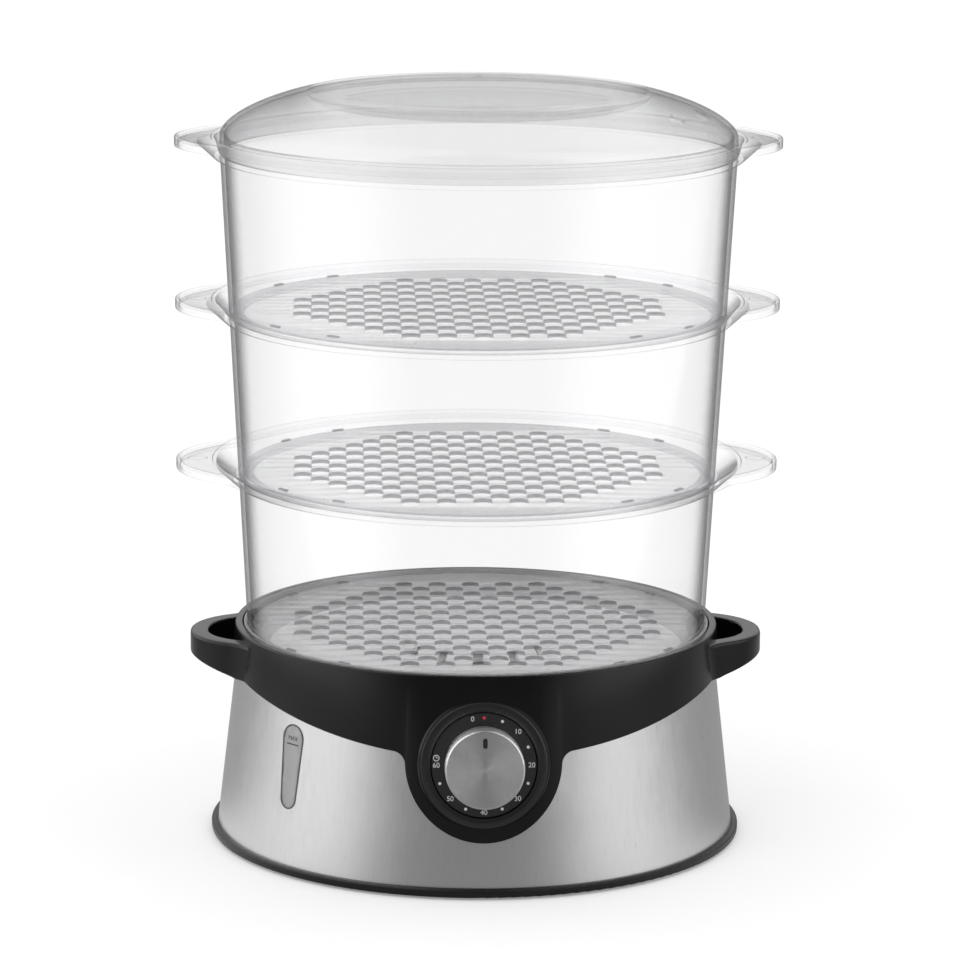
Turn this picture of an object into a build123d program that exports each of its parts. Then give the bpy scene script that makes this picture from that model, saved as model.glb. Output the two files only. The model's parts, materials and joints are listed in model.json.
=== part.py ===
"""Electric food steamer, as its separate pieces.

A round stainless base holds the water tank, the heater and a clockwork timer. A drip
tray, three clear steaming tiers and a domed lid stack on it and lift off one by one.
Sizes are millimetres. +Z is up, the dial faces -Y, and the origin is the centre of the
rubber ring that the base stands on.
"""

import os
from math import atan2, cos, radians, sin, sqrt, tan

from build123d import *

os.makedirs("parts", exist_ok=True)

# ---------------------------------------------------------------- fits
slip = 0.3            # gap between curved faces that lift or turn past each other
snug = 0.15           # gap between curved faces that stay put
overcut = 5.0         # how far a cutting shape runs past the face it opens

# ---------------------------------------------------------------- steel skin
skin_foot_r = 124.7   # outside radius at the foot
skin_t = 0.6
skin_lean = 6.6       # degrees that the skin leans in
skin_top_z = 86.5

# ---------------------------------------------------------------- bottom cover and its rubber ring
ring_proud = 3.3      # how far the foot ring stands outside the skin
ring_bottom_z = 1.0
ring_top_z = 8.0
ring_width = 9.0
ring_round = 1.6
skin_seat_z = 6.5
cover_z = 3.0         # underside of the cover plate
cover_t = 2.5
rubber_r = 108.0      # middle of the rubber ring
rubber_w = 8.0
rubber_groove = 0.8   # how deep the ring sits in the cover
rubber_chamfer = 0.6
tower_r = 7.0
tower_circle_r = 72.0
tower_count = 4
tower_top_z = 18.0
base_screw_r = 1.9
base_screw_head_r = 3.8
base_screw_head_z = 8.0
base_screw_head_h = 3.0
base_screw_tip_z = 23.5
vent_count = 10
vent_ring_r = 48.0
vent_length = 18.0
vent_width = 4.0

# ---------------------------------------------------------------- collar
collar_top_z = 103.0
collar_proud = 2.5    # how far the collar stands outside the skin
collar_t = 2.2
collar_bore_r = 112.6
collar_wall_t = 2.3
skirt_z = 84.0        # lower edge at the sides and back
ledge_z = 93.0        # top of the ledge that carries the tank
ledge_t = 2.5
ledge_bore_r = 107.0
sweep_z = 65.5        # lower edge at the front, where the dial lobe covers it
sweep_knots = [(44.0, 67.4), (83.0, 74.0), (104.0, 79.6)]
lobe_r = 36.2
lobe_blend = 6.0

# ---------------------------------------------------------------- loop handles
handle_out = 21.2     # how far the loops stand out of the collar
handle_top_z = 98.5
handle_root_x = 108.0
handle_root_half = 37.8
handle_tip_half = 20.5
handle_nose = 0.927   # share of the blunt tip that its rounded corners take
handle_band = 8.8
handle_tip_z = 88.0   # underside at the tip
handle_root_z = 81.5  # underside where it meets the skin
handle_round = 1.2

# ---------------------------------------------------------------- dial and timer
dial_z = 62.6
boss_r = 30.7
boss_proud = 1.5      # crest of the bezel in front of the collar
boss_face = -1.2      # boss front, measured along the dial axis from the crest
boss_depth = 8.5
bezel_r = 30.0
plate_r = 24.3
plate_t = 1.3
plate_back = -3.0
bezel_inner_rise = 0.6
bezel_outer_rise = 0.4
web_t = 3.0
web_hole_r = 5.0
timer_front = -9.0
timer_width = 44.0
timer_height = 36.0
timer_depth = 16.0
timer_corner = 4.0
timer_grip = 8.0      # how far the shaft and the screws run into the timer
bell_r = 14.0
bell_h = 4.5
bell_t = 1.0
bell_post_r = 3.5
timer_screw_x = 17.0
timer_screw_r = 1.4
standoff_r = 3.4
shaft_r = 3.0
shaft_tip = 10.0
shaft_fit = 0.08
shaft_flat = 2.1      # distance of the flat from the shaft's axis
shaft_flat_l = 7.5
knob_r = 18.25
knob_face_r = 17.25
knob_bevel = 1.1
knob_top = 14.4
knob_foot = -0.9
knob_skin_t = 0.8
hub_r = 5.5
pointer_w = 2.1
pointer_l = 4.7
pointer_r = 12.3      # distance of the pointer from the knob's axis
pointer_gap = 0.05
pointer_sink = 0.2
core_wall = 2.0
core_roof = 2.6
core_bevel = 1.4

# ---------------------------------------------------------------- water tank
tank_flange_t = 2.0
tank_gap = 0.8        # between the tank and the ledge that carries it
tank_foot_r = 100.0
tank_floor_z = 26.0   # underside of the tank's floor
tank_t = 2.2
seal_t = 1.0
seal_width = 3.0
timer_bay_half = 30.0
timer_bay_y = -87.0
timer_bay_top_z = 80.4
tank_boss_r = 5.0

# ---------------------------------------------------------------- heater
puck_r = 24.0
puck_top_z = 38.0
puck_round = 3.0
heater_flange_r = 31.0
heater_flange_t = 1.6
heater_hole_r = 25.0
coil_r = 21.0
coil_wire_r = 3.0
coil_turn = 305.0     # degrees
coil_end = 4.0        # degrees from each end of the tube to its pin
pin_r = 1.2
pin_l = 9.0
strap_width = 14.0
strap_t = 1.2
strap_reach = 37.0
strap_screw_r = 1.6
strap_screw_l = 7.2
thermostat_r = 8.0
fuse_r = 2.0
fuse_l = 14.0
fuse_y = 12.3
steam_ring_r = 44.0
steam_ring_t = 1.8
steam_ring_h = 45.0
steam_notch = 10.0
steam_notch_count = 6

# ---------------------------------------------------------------- water gauge
gauge_azimuth = 48.0  # degrees to the left of the dial
gauge_z = 51.0
gauge_h = 40.0
gauge_top_w = 13.7
gauge_foot_w = 10.2
gauge_t = 2.0
gauge_depth = 9.0
gauge_wall = 1.6
gauge_margin = 2.5
gauge_port_r = 3.4
gauge_port_bore_r = 2.0
gauge_port_rise = 15.0
gauge_hollow_round = 1.0

# ---------------------------------------------------------------- mains inlet
gland_z = 24.0
gland_bore_r = 3.7
gland_neck_r = 6.0
gland_flange_r = 9.0
gland_flange_t = 2.5
gland_neck_l = 3.4
gland_nut_t = 4.0
terminal_inset = 40.7  # from the foot of the skin to the terminal block's middle
terminal_size = (32.0, 16.0, 12.0)
terminal_hole_r = 2.2
terminal_pitch = 9.0

# ---------------------------------------------------------------- drip tray
tray_t = 1.6
tray_lip_h = 7.0
tray_seat_w = 8.6     # the shelf between the tray's wall and its bowl
tray_bowl_lean = 4.3  # how much narrower the bowl is at its foot
tray_depth = 13.0
chimney_foot_r = 38.0
chimney_top_r = 32.0
chimney_h = 10.5
chimney_slots = 12
chimney_slot_w = 5.0
chimney_slot_h = 5.0

# ---------------------------------------------------------------- tiers
tier_count = 3
tier_pitch = 77.3     # from one seat to the next
tier_step = 4.15      # how much wider each tier is than the one below
tier_t = 2.0
tier_draft = 2.9      # degrees
rim_r = 127.0
rim_h = 8.0
rim_t = 2.0
rim_ledge_t = 2.0
foot_lip_w = 5.0
foot_lip_t = 1.8
floor_t = 2.0
floor_fit = 0.4
hole_across = 9.0
hole_pitch_x = 25.0
hole_pitch_y = 15.6
hole_field_r = 88.0
tab_count = 8
tab_size = (7.0, 2.0, 2.6)
ear_reach = 144.0
ear_nose_r = 55.0
ear_t = 2.0
ear_skirt_h = 4.6
ear_skirt_t = 1.6
ear_blend = 16.0
ear_mark_x = 134.0
ear_mark_r = 4.8
ear_mark_depth = 0.5
ear_lap = 0.5         # how far the rim runs on into the ears' plate

# ---------------------------------------------------------------- lid
lid_t = 2.0
lid_rise = 36.7
lid_skirt_h = 9.0
lid_knots = [(80.0, 30.0), (113.0, 18.5)]
lid_slope = 37.0      # degrees: the dome's slope where its knots are
scoop_r = 80.0
scoop_depth = 17.0
scoop_heel_r = 64.0
scoop_heel_rise = 4.25
scoop_flare = 3.0     # how far the scoop's side runs on past the dome
grip_half = 8.5       # half the width of the grip bar
vent_hole_r = 3.2
lid_vents = [(90.0, -52.0), (104.0, -24.0)]
nub_r = 1.8
nub_h = 0.8


# ---------------------------------------------------------------- shared geometry
def skin_r(z):
    """Outside radius of the leaning steel skin at height z."""
    return skin_foot_r - (z - skin_seat_z) * tan(radians(skin_lean))


def collar_r(z):
    """Outside radius of the collar at height z."""
    return skin_r(z) + collar_proud


def tank_r(z):
    """Outside radius of the tank at height z."""
    share = (z - tank_floor_z) / (ledge_z - tank_floor_z)
    return tank_foot_r + (tank_mouth_r - tank_foot_r) * share


def outline(points, plane=Plane.XZ):
    """A closed straight-sided face; on Plane.XZ the points are (radius, height)."""
    with BuildSketch(plane) as face:
        with BuildLine():
            Polyline(*points, close=True)
        make_face()
    return face.sketch


def facing_out(azimuth, height, radius):
    """A plane square to the leaning skin, azimuth degrees to the left of the dial."""
    lean, turn = radians(skin_lean), radians(azimuth)
    outward = Vector(-sin(turn) * cos(lean), -cos(turn) * cos(lean), sin(lean))
    origin = Vector(-sin(turn) * radius, -cos(turn) * radius, height)
    return Plane(origin=origin, x_dir=(cos(turn), -sin(turn), 0), z_dir=outward)


ring_r = skin_foot_r + ring_proud            # outside radius of the foot ring
handle_reach = collar_r(handle_top_z) + handle_out
terminal_y = skin_foot_r - terminal_inset
tank_mouth_r = ledge_bore_r - tank_gap
flange_z = ledge_z + seal_t                  # underside of the tank's flange
tray_z = flange_z + tank_flange_t            # the tray rests on the flange
tray_r = collar_bore_r - 2 * slip
tray_bowl_r = tray_r - tray_t - tray_seat_w
tray_foot_r = tray_bowl_r - tray_bowl_lean
tank_flange_r = tray_r
seat_z = tray_z + tray_t                     # tier 1 stands in the tray
foot_r = tray_r - tray_t - slip              # outside radius of tier 1's foot
lid_z = seat_z + tier_count * tier_pitch
lid_r = foot_r + tier_count * tier_step
tank_inside_z = tank_floor_z + tank_t
cover_top_z = cover_z + cover_t

crest = collar_r(dial_z) + boss_proud        # the bezel's crest, from the Z axis
dial = facing_out(0, dial_z, crest)          # local Z runs out along the knob's axis
dial_axis = Axis(dial.origin, dial.z_dir)
dial_section = Plane(origin=dial.origin, x_dir=(1, 0, 0), z_dir=-dial.y_dir)
timer_back = timer_front - timer_depth

# ================================================================ base
with BuildPart() as bottom_cover:
    ring_inner_r = ring_r - ring_width
    with BuildSketch(Plane.XZ):
        with BuildLine():
            Polyline(
                (0, cover_z),
                (ring_inner_r, cover_z),
                (ring_inner_r, ring_bottom_z),
                (ring_r, ring_bottom_z),
                (ring_r, ring_top_z),
                (skin_foot_r + snug, ring_top_z),
                (skin_foot_r + snug, skin_seat_z),
                (ring_inner_r, skin_seat_z),
                (ring_inner_r, cover_top_z),
                (0, cover_top_z),
                close=True,
            )
        make_face()
        fillet(vertices().sort_by(Axis.X)[-2:], radius=ring_round)
    revolve(axis=Axis.Z)
    with BuildSketch(Plane.XY.offset(cover_top_z)):
        with PolarLocations(tower_circle_r, tower_count, start_angle=180 / tower_count):
            Circle(tower_r)
    extrude(amount=tower_top_z - cover_top_z)
    with BuildSketch(Plane.XY.offset(cover_z)):
        with PolarLocations(tower_circle_r, tower_count, start_angle=180 / tower_count):
            Circle(base_screw_head_r + slip)
    extrude(amount=base_screw_head_z - cover_z, mode=Mode.SUBTRACT)
    with BuildSketch(Plane.XY.offset(cover_z)):
        with PolarLocations(tower_circle_r, tower_count, start_angle=180 / tower_count):
            Circle(base_screw_r + snug)
    extrude(amount=tower_top_z - cover_z, mode=Mode.SUBTRACT)
    with BuildSketch(Plane.XY.offset(cover_z)):
        with PolarLocations(vent_ring_r, vent_count):
            SlotOverall(vent_length, vent_width)
    extrude(amount=cover_t, mode=Mode.SUBTRACT)
    with BuildSketch(Plane.XY.offset(cover_z)):
        Circle(rubber_r + rubber_w / 2 + snug)
        Circle(rubber_r - rubber_w / 2 - snug, mode=Mode.SUBTRACT)
    extrude(amount=rubber_groove, mode=Mode.SUBTRACT)
bottom_cover.part.label = "bottom_cover"
export_step(bottom_cover.part, "parts/bottom_cover.step")

with BuildPart() as rubber_ring:
    with BuildSketch(Plane.XY):
        Circle(rubber_r + rubber_w / 2)
        Circle(rubber_r - rubber_w / 2, mode=Mode.SUBTRACT)
    extrude(amount=cover_z + rubber_groove)
    chamfer(rubber_ring.edges().group_by(Axis.Z)[0], length=rubber_chamfer)
rubber_ring.part.label = "rubber_ring"
export_step(rubber_ring.part, "parts/rubber_ring.step")

with BuildPart() as base_screws:
    with BuildSketch(Plane.XY.offset(base_screw_head_z)):
        with PolarLocations(tower_circle_r, tower_count, start_angle=180 / tower_count):
            Circle(base_screw_r)
    extrude(amount=base_screw_tip_z - base_screw_head_z)
    with BuildSketch(Plane.XY.offset(base_screw_head_z)):
        with PolarLocations(tower_circle_r, tower_count, start_angle=180 / tower_count):
            Circle(base_screw_head_r)
    extrude(amount=-base_screw_head_h)
base_screws.part.label = "base_screws"
export_step(base_screws.part, "parts/base_screws.step")

# The gauge slot is wider at the top; the same shape makes the window and its hole.
gauge = facing_out(gauge_azimuth, gauge_z, skin_r(gauge_z))
with BuildSketch(gauge) as gauge_slot:
    with Locations((0, (gauge_h - gauge_top_w) / 2)):
        Circle(gauge_top_w / 2)
    with Locations((0, (gauge_foot_w - gauge_h) / 2)):
        Circle(gauge_foot_w / 2)
    make_hull()

gland = facing_out(180, gland_z, skin_r(gland_z))

with BuildPart() as steel_skin:
    revolve(
        outline(
            [
                (skin_r(skin_seat_z), skin_seat_z),
                (skin_r(skin_top_z), skin_top_z),
                (skin_r(skin_top_z) - skin_t, skin_top_z),
                (skin_r(skin_seat_z) - skin_t, skin_seat_z),
            ]
        ),
        axis=Axis.Z,
    )
    extrude(gauge_slot.sketch, amount=overcut, both=True, mode=Mode.SUBTRACT)
    with BuildSketch(dial):
        Circle(boss_r + 2 * slip)
        with Locations((0, skin_top_z - dial_z)):
            Rectangle(2 * boss_r, skin_top_z - dial_z)
    extrude(amount=-boss_r, mode=Mode.SUBTRACT)
    with BuildSketch(gland):
        Circle(gland_neck_r + snug)
    extrude(amount=overcut, both=True, mode=Mode.SUBTRACT)
steel_skin.part.label = "steel_skin"
export_step(steel_skin.part, "parts/steel_skin.step")

# Each handle is a flat loop: a blunt nose on splayed sides, thinner at the tip.
nose_turn = atan2(handle_reach - handle_root_x, handle_root_half - handle_tip_half)
nose_r = handle_nose * handle_tip_half / tan(nose_turn / 2)
with BuildPart() as handle:
    with BuildSketch(Plane.XY.offset(handle_root_z)) as handle_plan:
        with BuildLine():
            Polyline(
                (handle_root_x, -handle_root_half),
                (handle_reach, -handle_tip_half),
                (handle_reach, handle_tip_half),
                (handle_root_x, handle_root_half),
                close=True,
            )
        make_face()
        fillet(vertices().sort_by(Axis.X)[-2:], radius=nose_r)
    extrude(amount=handle_top_z - handle_root_z)
    handle_pitch = (handle_tip_z - handle_root_z) / (handle_reach - skin_r(handle_root_z))
    slope = [
        (handle_root_x, handle_root_z),
        (skin_r(handle_root_z), handle_root_z),
        (handle_reach + overcut, handle_tip_z + overcut * handle_pitch),
        (handle_reach + overcut, handle_root_z - overcut),
        (handle_root_x, handle_root_z - overcut),
    ]
    extrude(outline(slope), amount=handle_root_half, both=True, mode=Mode.SUBTRACT)
    fillet(handle.edges().group_by(Axis.Z)[-1].sort_by(Axis.X)[1:], radius=handle_round)

with BuildPart() as handle_gap:
    with BuildSketch(Plane.XY.offset(skirt_z - overcut)):
        add(handle_plan.sketch.faces()[0].moved(Location((0, 0, -handle_root_z))))
        offset(amount=-handle_band, mode=Mode.REPLACE)
        Circle(collar_r(skirt_z) + slip, mode=Mode.SUBTRACT)
    extrude(amount=collar_top_z + overcut - skirt_z)

with BuildPart() as collar:
    # the outer apron, parallel to the skin
    low_z = dial_z - lobe_r - overcut
    revolve(
        outline(
            [
                (collar_r(low_z), low_z),
                (collar_r(collar_top_z), collar_top_z),
                (collar_r(collar_top_z) - collar_t, collar_top_z),
                (collar_r(low_z) - collar_t, low_z),
            ]
        ),
        axis=Axis.Z,
    )
    # its front lower edge: one long sweep broken by the round dial lobe
    with BuildSketch(Plane.XZ):
        with BuildLine():
            side = [(x, z) for x, z in sweep_knots]
            ends = (collar_r(skirt_z), skirt_z)
            Spline((-ends[0], ends[1]), *[(-x, z) for x, z in side[::-1]], (0, sweep_z), *side, ends)
            Line(ends, (ring_r + overcut, skirt_z))
            Line((ring_r + overcut, skirt_z), (ring_r + overcut, low_z - overcut))
            Line((ring_r + overcut, low_z - overcut), (-ring_r - overcut, low_z - overcut))
            Line((-ring_r - overcut, low_z - overcut), (-ring_r - overcut, skirt_z))
            Line((-ring_r - overcut, skirt_z), (-ends[0], skirt_z))
        make_face()
        with Locations((0, dial_z)):
            Circle(lobe_r, mode=Mode.SUBTRACT)
        fillet(vertices().sort_by(lambda v: abs(abs(v.X) - lobe_r))[:2], radius=lobe_blend)
    extrude(amount=ring_r + overcut, mode=Mode.SUBTRACT)
    behind = [
        (-ring_r - overcut, skirt_z),
        (ring_r + overcut, skirt_z),
        (ring_r + overcut, low_z - overcut),
        (-ring_r - overcut, low_z - overcut),
    ]
    extrude(outline(behind), amount=-ring_r - overcut, mode=Mode.SUBTRACT)
    # handles, cut away where the wall passes, then the wall itself with its ledge
    add(handle.part)
    add(mirror(handle.part, about=Plane.YZ, mode=Mode.PRIVATE))
    with BuildSketch(Plane.XY.offset(skirt_z - overcut)):
        Circle(collar_r(skirt_z) - collar_t)
    extrude(amount=collar_top_z - skirt_z + 2 * overcut, mode=Mode.SUBTRACT)
    with BuildSketch(Plane.XZ):
        with BuildLine():
            Polyline(
                (ledge_bore_r, ledge_z - ledge_t),
                (collar_bore_r + collar_wall_t, ledge_z - ledge_t),
                (collar_r(skin_top_z + ledge_t) - collar_t / 2, skin_top_z + ledge_t),
                (collar_r(collar_top_z) - collar_t / 2, collar_top_z),
                (collar_bore_r, collar_top_z),
                (collar_bore_r, ledge_z),
                (ledge_bore_r, ledge_z),
                close=True,
            )
        make_face()
    revolve(axis=Axis.Z)
    add(handle_gap.part, mode=Mode.SUBTRACT)
    add(mirror(handle_gap.part, about=Plane.YZ, mode=Mode.PRIVATE), mode=Mode.SUBTRACT)
    # the round boss that carries the dial, with a web behind the dial plate
    with BuildSketch(dial.offset(boss_face - boss_depth)):
        Circle(boss_r)
    extrude(amount=boss_depth)
    with BuildSketch(dial.offset(plate_back)):
        Circle(plate_r + snug)
    extrude(amount=overcut, mode=Mode.SUBTRACT)
    with BuildSketch(dial.offset(plate_back - web_t)):
        Circle(boss_r - collar_t)
    extrude(amount=-boss_depth, mode=Mode.SUBTRACT)
    with BuildSketch(dial.offset(plate_back - web_t)):
        with Locations((-timer_screw_x, 0), (timer_screw_x, 0)):
            Circle(standoff_r)
    extrude(amount=timer_front - plate_back + web_t)
    with BuildSketch(dial.offset(timer_front)):
        Circle(web_hole_r)
        with Locations((-timer_screw_x, 0), (timer_screw_x, 0)):
            Circle(timer_screw_r + snug)
    extrude(amount=plate_back - timer_front, mode=Mode.SUBTRACT)
collar.part.label = "collar"
export_step(collar.part, "parts/collar.step")

with BuildPart() as tank_seal:
    with BuildSketch(Plane.XY.offset(ledge_z)):
        Circle(ledge_bore_r + seal_width)
        Circle(ledge_bore_r, mode=Mode.SUBTRACT)
    extrude(amount=seal_t)
tank_seal.part.label = "tank_seal"
export_step(tank_seal.part, "parts/tank_seal.step")

with BuildPart() as tank_hollow:
    revolve(
        outline(
            [
                (0, tank_inside_z),
                (tank_r(tank_inside_z) - tank_t, tank_inside_z),
                (tank_r(tray_z) - tank_t, tray_z + overcut),
                (0, tray_z + overcut),
            ]
        ),
        axis=Axis.Z,
    )
    with BuildSketch(Plane.XY.offset(tank_floor_z)):
        with Locations((0, timer_bay_y + tank_t - ring_r / 2)):
            Rectangle(2 * (timer_bay_half + tank_t), ring_r)
    extrude(amount=timer_bay_top_z + tank_t - tank_floor_z, mode=Mode.SUBTRACT)

with BuildPart() as water_tank:
    revolve(
        outline(
            [
                (0, tank_floor_z),
                (tank_r(tank_floor_z), tank_floor_z),
                (tank_r(flange_z), flange_z),
                (tank_flange_r, flange_z),
                (tank_flange_r, tray_z),
                (0, tray_z),
            ]
        ),
        axis=Axis.Z,
    )
    # a flat bay in the front wall makes room for the timer
    with BuildSketch(Plane.XY.offset(tank_floor_z)):
        with Locations((0, timer_bay_y - ring_r / 2)):
            Rectangle(2 * timer_bay_half, ring_r)
    extrude(amount=timer_bay_top_z - tank_floor_z, mode=Mode.SUBTRACT)
    add(tank_hollow.part, mode=Mode.SUBTRACT)
    # bosses under the floor for the base screws and the heater strap
    with BuildSketch(Plane.XY.offset(tank_floor_z)):
        with PolarLocations(tower_circle_r, tower_count, start_angle=180 / tower_count):
            Circle(tank_boss_r)
    extrude(amount=tower_top_z - tank_floor_z)
    strap_z = tank_floor_z - seal_t - heater_flange_t - 2 * coil_wire_r
    with BuildSketch(Plane.XY.offset(tank_floor_z)):
        with Locations((-strap_reach, 0), (strap_reach, 0)):
            Circle(tank_boss_r)
    extrude(amount=strap_z - tank_floor_z)
    with BuildSketch(Plane.XY.offset(tank_floor_z)):
        with PolarLocations(tower_circle_r, tower_count, start_angle=180 / tower_count):
            Circle(base_screw_r + snug)
        with Locations((-strap_reach, 0), (strap_reach, 0)):
            Circle(strap_screw_r + snug)
    extrude(amount=strap_z - tank_floor_z - overcut, mode=Mode.SUBTRACT)
    with BuildSketch(Plane.XY.offset(tank_floor_z)):
        Circle(heater_hole_r)
    extrude(amount=tank_t, mode=Mode.SUBTRACT)
water_tank.part.label = "water_tank"
export_step(water_tank.part, "parts/water_tank.step")

# ================================================================ heater
heater_face_z = tank_floor_z - seal_t

with BuildPart() as heater_plate:
    with BuildSketch(Plane.XZ):
        with BuildLine():
            Polyline(
                (0, heater_face_z - heater_flange_t),
                (heater_flange_r, heater_face_z - heater_flange_t),
                (heater_flange_r, heater_face_z),
                (puck_r, heater_face_z),
                (puck_r, puck_top_z),
                (0, puck_top_z),
                close=True,
            )
        make_face()
        fillet(vertices().group_by(Axis.Y)[-1].sort_by(Axis.X)[-1], radius=puck_round)
    revolve(axis=Axis.Z)
heater_plate.part.label = "heater_plate"
export_step(heater_plate.part, "parts/heater_plate.step")

with BuildPart() as heater_seal:
    with BuildSketch(Plane.XY.offset(heater_face_z)):
        Circle(heater_flange_r)
        Circle(heater_hole_r, mode=Mode.SUBTRACT)
    extrude(amount=seal_t)
heater_seal.part.label = "heater_seal"
export_step(heater_seal.part, "parts/heater_seal.step")

coil_z = heater_face_z - heater_flange_t - coil_wire_r

with BuildPart() as heating_tube:
    coil_start = 90 + (360 - coil_turn) / 2
    with BuildSketch(Plane.XZ.rotated((0, 0, coil_start))):
        with Locations((coil_r, coil_z)):
            Circle(coil_wire_r)
    revolve(axis=Axis.Z, revolution_arc=coil_turn)
    with BuildSketch(Plane.XY.offset(coil_z - coil_wire_r / 2)):
        for pin_angle in (coil_start + coil_end, coil_start + coil_turn - coil_end):
            with PolarLocations(coil_r, 1, start_angle=pin_angle):
                Circle(pin_r)
    extrude(amount=-pin_l)
heating_tube.part.label = "heating_tube"
export_step(heating_tube.part, "parts/heating_tube.step")

with BuildPart() as heater_strap:
    with BuildSketch(Plane.XY.offset(strap_z)):
        SlotOverall(2 * strap_reach + strap_width, strap_width)
        with Locations((-strap_reach, 0), (strap_reach, 0)):
            Circle(strap_screw_r + snug, mode=Mode.SUBTRACT)
    extrude(amount=-strap_t)
heater_strap.part.label = "heater_strap"
export_step(heater_strap.part, "parts/heater_strap.step")

with BuildPart() as strap_screws:
    with BuildSketch(Plane.XY.offset(strap_z - strap_t)):
        with Locations((-strap_reach, 0), (strap_reach, 0)):
            Circle(strap_screw_r)
    extrude(amount=strap_screw_l)
    with BuildSketch(Plane.XY.offset(strap_z - strap_t)):
        with Locations((-strap_reach, 0), (strap_reach, 0)):
            Circle(2 * strap_screw_r)
    extrude(amount=-strap_screw_r)
strap_screws.part.label = "strap_screws"
export_step(strap_screws.part, "parts/strap_screws.step")

with BuildPart() as boil_dry_thermostat:
    with BuildSketch(Plane.XY.offset(strap_z)):
        Circle(thermostat_r)
    extrude(amount=2 * coil_wire_r)
boil_dry_thermostat.part.label = "boil_dry_thermostat"
export_step(boil_dry_thermostat.part, "parts/boil_dry_thermostat.step")

with BuildPart() as thermal_fuse:
    fuse_z = heater_face_z - heater_flange_t - fuse_r
    with BuildSketch(Plane.YZ.offset(-fuse_l / 2)):
        with Locations((fuse_y, fuse_z)):
            Circle(fuse_r)
    extrude(amount=fuse_l)
thermal_fuse.part.label = "thermal_fuse"
export_step(thermal_fuse.part, "parts/thermal_fuse.step")

with BuildPart() as steam_ring:
    with BuildSketch(Plane.XY.offset(tank_inside_z)):
        Circle(steam_ring_r)
        Circle(steam_ring_r - steam_ring_t, mode=Mode.SUBTRACT)
    extrude(amount=steam_ring_h)
    with BuildSketch(Plane.XY.offset(tank_inside_z)):
        with PolarLocations(steam_ring_r, steam_notch_count, start_angle=180 / steam_notch_count):
            Rectangle(steam_ring_t + 2 * overcut, steam_notch)
    extrude(amount=steam_notch / 2, mode=Mode.SUBTRACT)
steam_ring.part.label = "steam_ring"
export_step(steam_ring.part, "parts/steam_ring.step")

# ================================================================ water gauge
with BuildPart() as gauge_window:
    # the window follows the skin's cone; a chamber behind it holds the water
    with BuildSketch(gauge):
        add(gauge_slot.sketch.faces()[0].moved(gauge.location.inverse()))
        offset(amount=-snug, mode=Mode.REPLACE)
    extrude(amount=overcut, both=True)
    window_low, window_high = gauge_z - gauge_h, gauge_z + gauge_h
    add(
        revolve(
            outline(
                [
                    (skin_r(window_low) - gauge_t, window_low),
                    (skin_r(window_low), window_low),
                    (skin_r(window_high), window_high),
                    (skin_r(window_high) - gauge_t, window_high),
                ]
            ),
            axis=Axis.Z,
            mode=Mode.PRIVATE,
        ),
        mode=Mode.INTERSECT,
    )
    chamber_w = gauge_top_w + 2 * gauge_margin
    chamber_h = gauge_h + 2 * gauge_margin
    with BuildSketch(gauge.offset(-gauge_t)):
        RectangleRounded(chamber_w, chamber_h, gauge_margin)
    extrude(amount=-gauge_depth)
    with BuildSketch(gauge.offset(-gauge_t - gauge_wall)):
        RectangleRounded(chamber_w - 2 * gauge_wall, chamber_h - 2 * gauge_wall, gauge_hollow_round)
    extrude(amount=2 * gauge_wall - gauge_depth, mode=Mode.SUBTRACT)
    with BuildSketch(gauge.offset(-gauge_t - gauge_depth)):
        with Locations((0, -gauge_port_rise), (0, gauge_port_rise)):
            Circle(gauge_port_r)
    extrude(amount=-2 * gauge_depth)
    with BuildSketch(gauge.offset(-gauge_t - gauge_depth + gauge_wall)):
        with Locations((0, -gauge_port_rise), (0, gauge_port_rise)):
            Circle(gauge_port_bore_r)
    extrude(amount=-2 * gauge_depth - gauge_wall, mode=Mode.SUBTRACT)
    # the ports stop against the tank
    tank_space = revolve(
        outline(
            [
                (0, window_low),
                (tank_r(window_low) + slip, window_low),
                (tank_r(window_high) + slip, window_high),
                (0, window_high),
            ]
        ),
        axis=Axis.Z,
        mode=Mode.PRIVATE,
    )
    add(tank_space, mode=Mode.SUBTRACT)
gauge_window.part.label = "gauge_window"
export_step(gauge_window.part, "parts/gauge_window.step")

# ================================================================ mains inlet
with BuildPart() as cord_gland:
    with BuildSketch(gland.offset(slip)):
        Circle(gland_flange_r)
    extrude(amount=gland_flange_t)
    chamfer(cord_gland.edges().sort_by(Axis.Y)[-1], length=gland_flange_t / 3)
    with BuildSketch(gland.offset(slip)):
        Circle(gland_neck_r)
    extrude(amount=-gland_neck_l - gland_nut_t)
    with BuildSketch(gland.offset(slip)):
        Circle(gland_bore_r)
    extrude(amount=overcut, mode=Mode.SUBTRACT)
    with BuildSketch(gland.offset(slip)):
        Circle(gland_bore_r)
    extrude(amount=-gland_neck_l - gland_nut_t, mode=Mode.SUBTRACT)
cord_gland.part.label = "cord_gland"
export_step(cord_gland.part, "parts/cord_gland.step")

with BuildPart() as gland_nut:
    # the skin curves, so the nut's corners touch it before its middle does
    nut_corner_r = gland_flange_r / cos(radians(30))
    nut_gap = skin_r(gland_z) - sqrt(skin_r(gland_z) ** 2 - nut_corner_r ** 2)
    with BuildSketch(gland.offset(-skin_t - snug - nut_gap)):
        RegularPolygon(gland_flange_r, 6, major_radius=False)
        Circle(gland_neck_r + snug, mode=Mode.SUBTRACT)
    extrude(amount=-gland_nut_t)
gland_nut.part.label = "gland_nut"
export_step(gland_nut.part, "parts/gland_nut.step")

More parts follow.
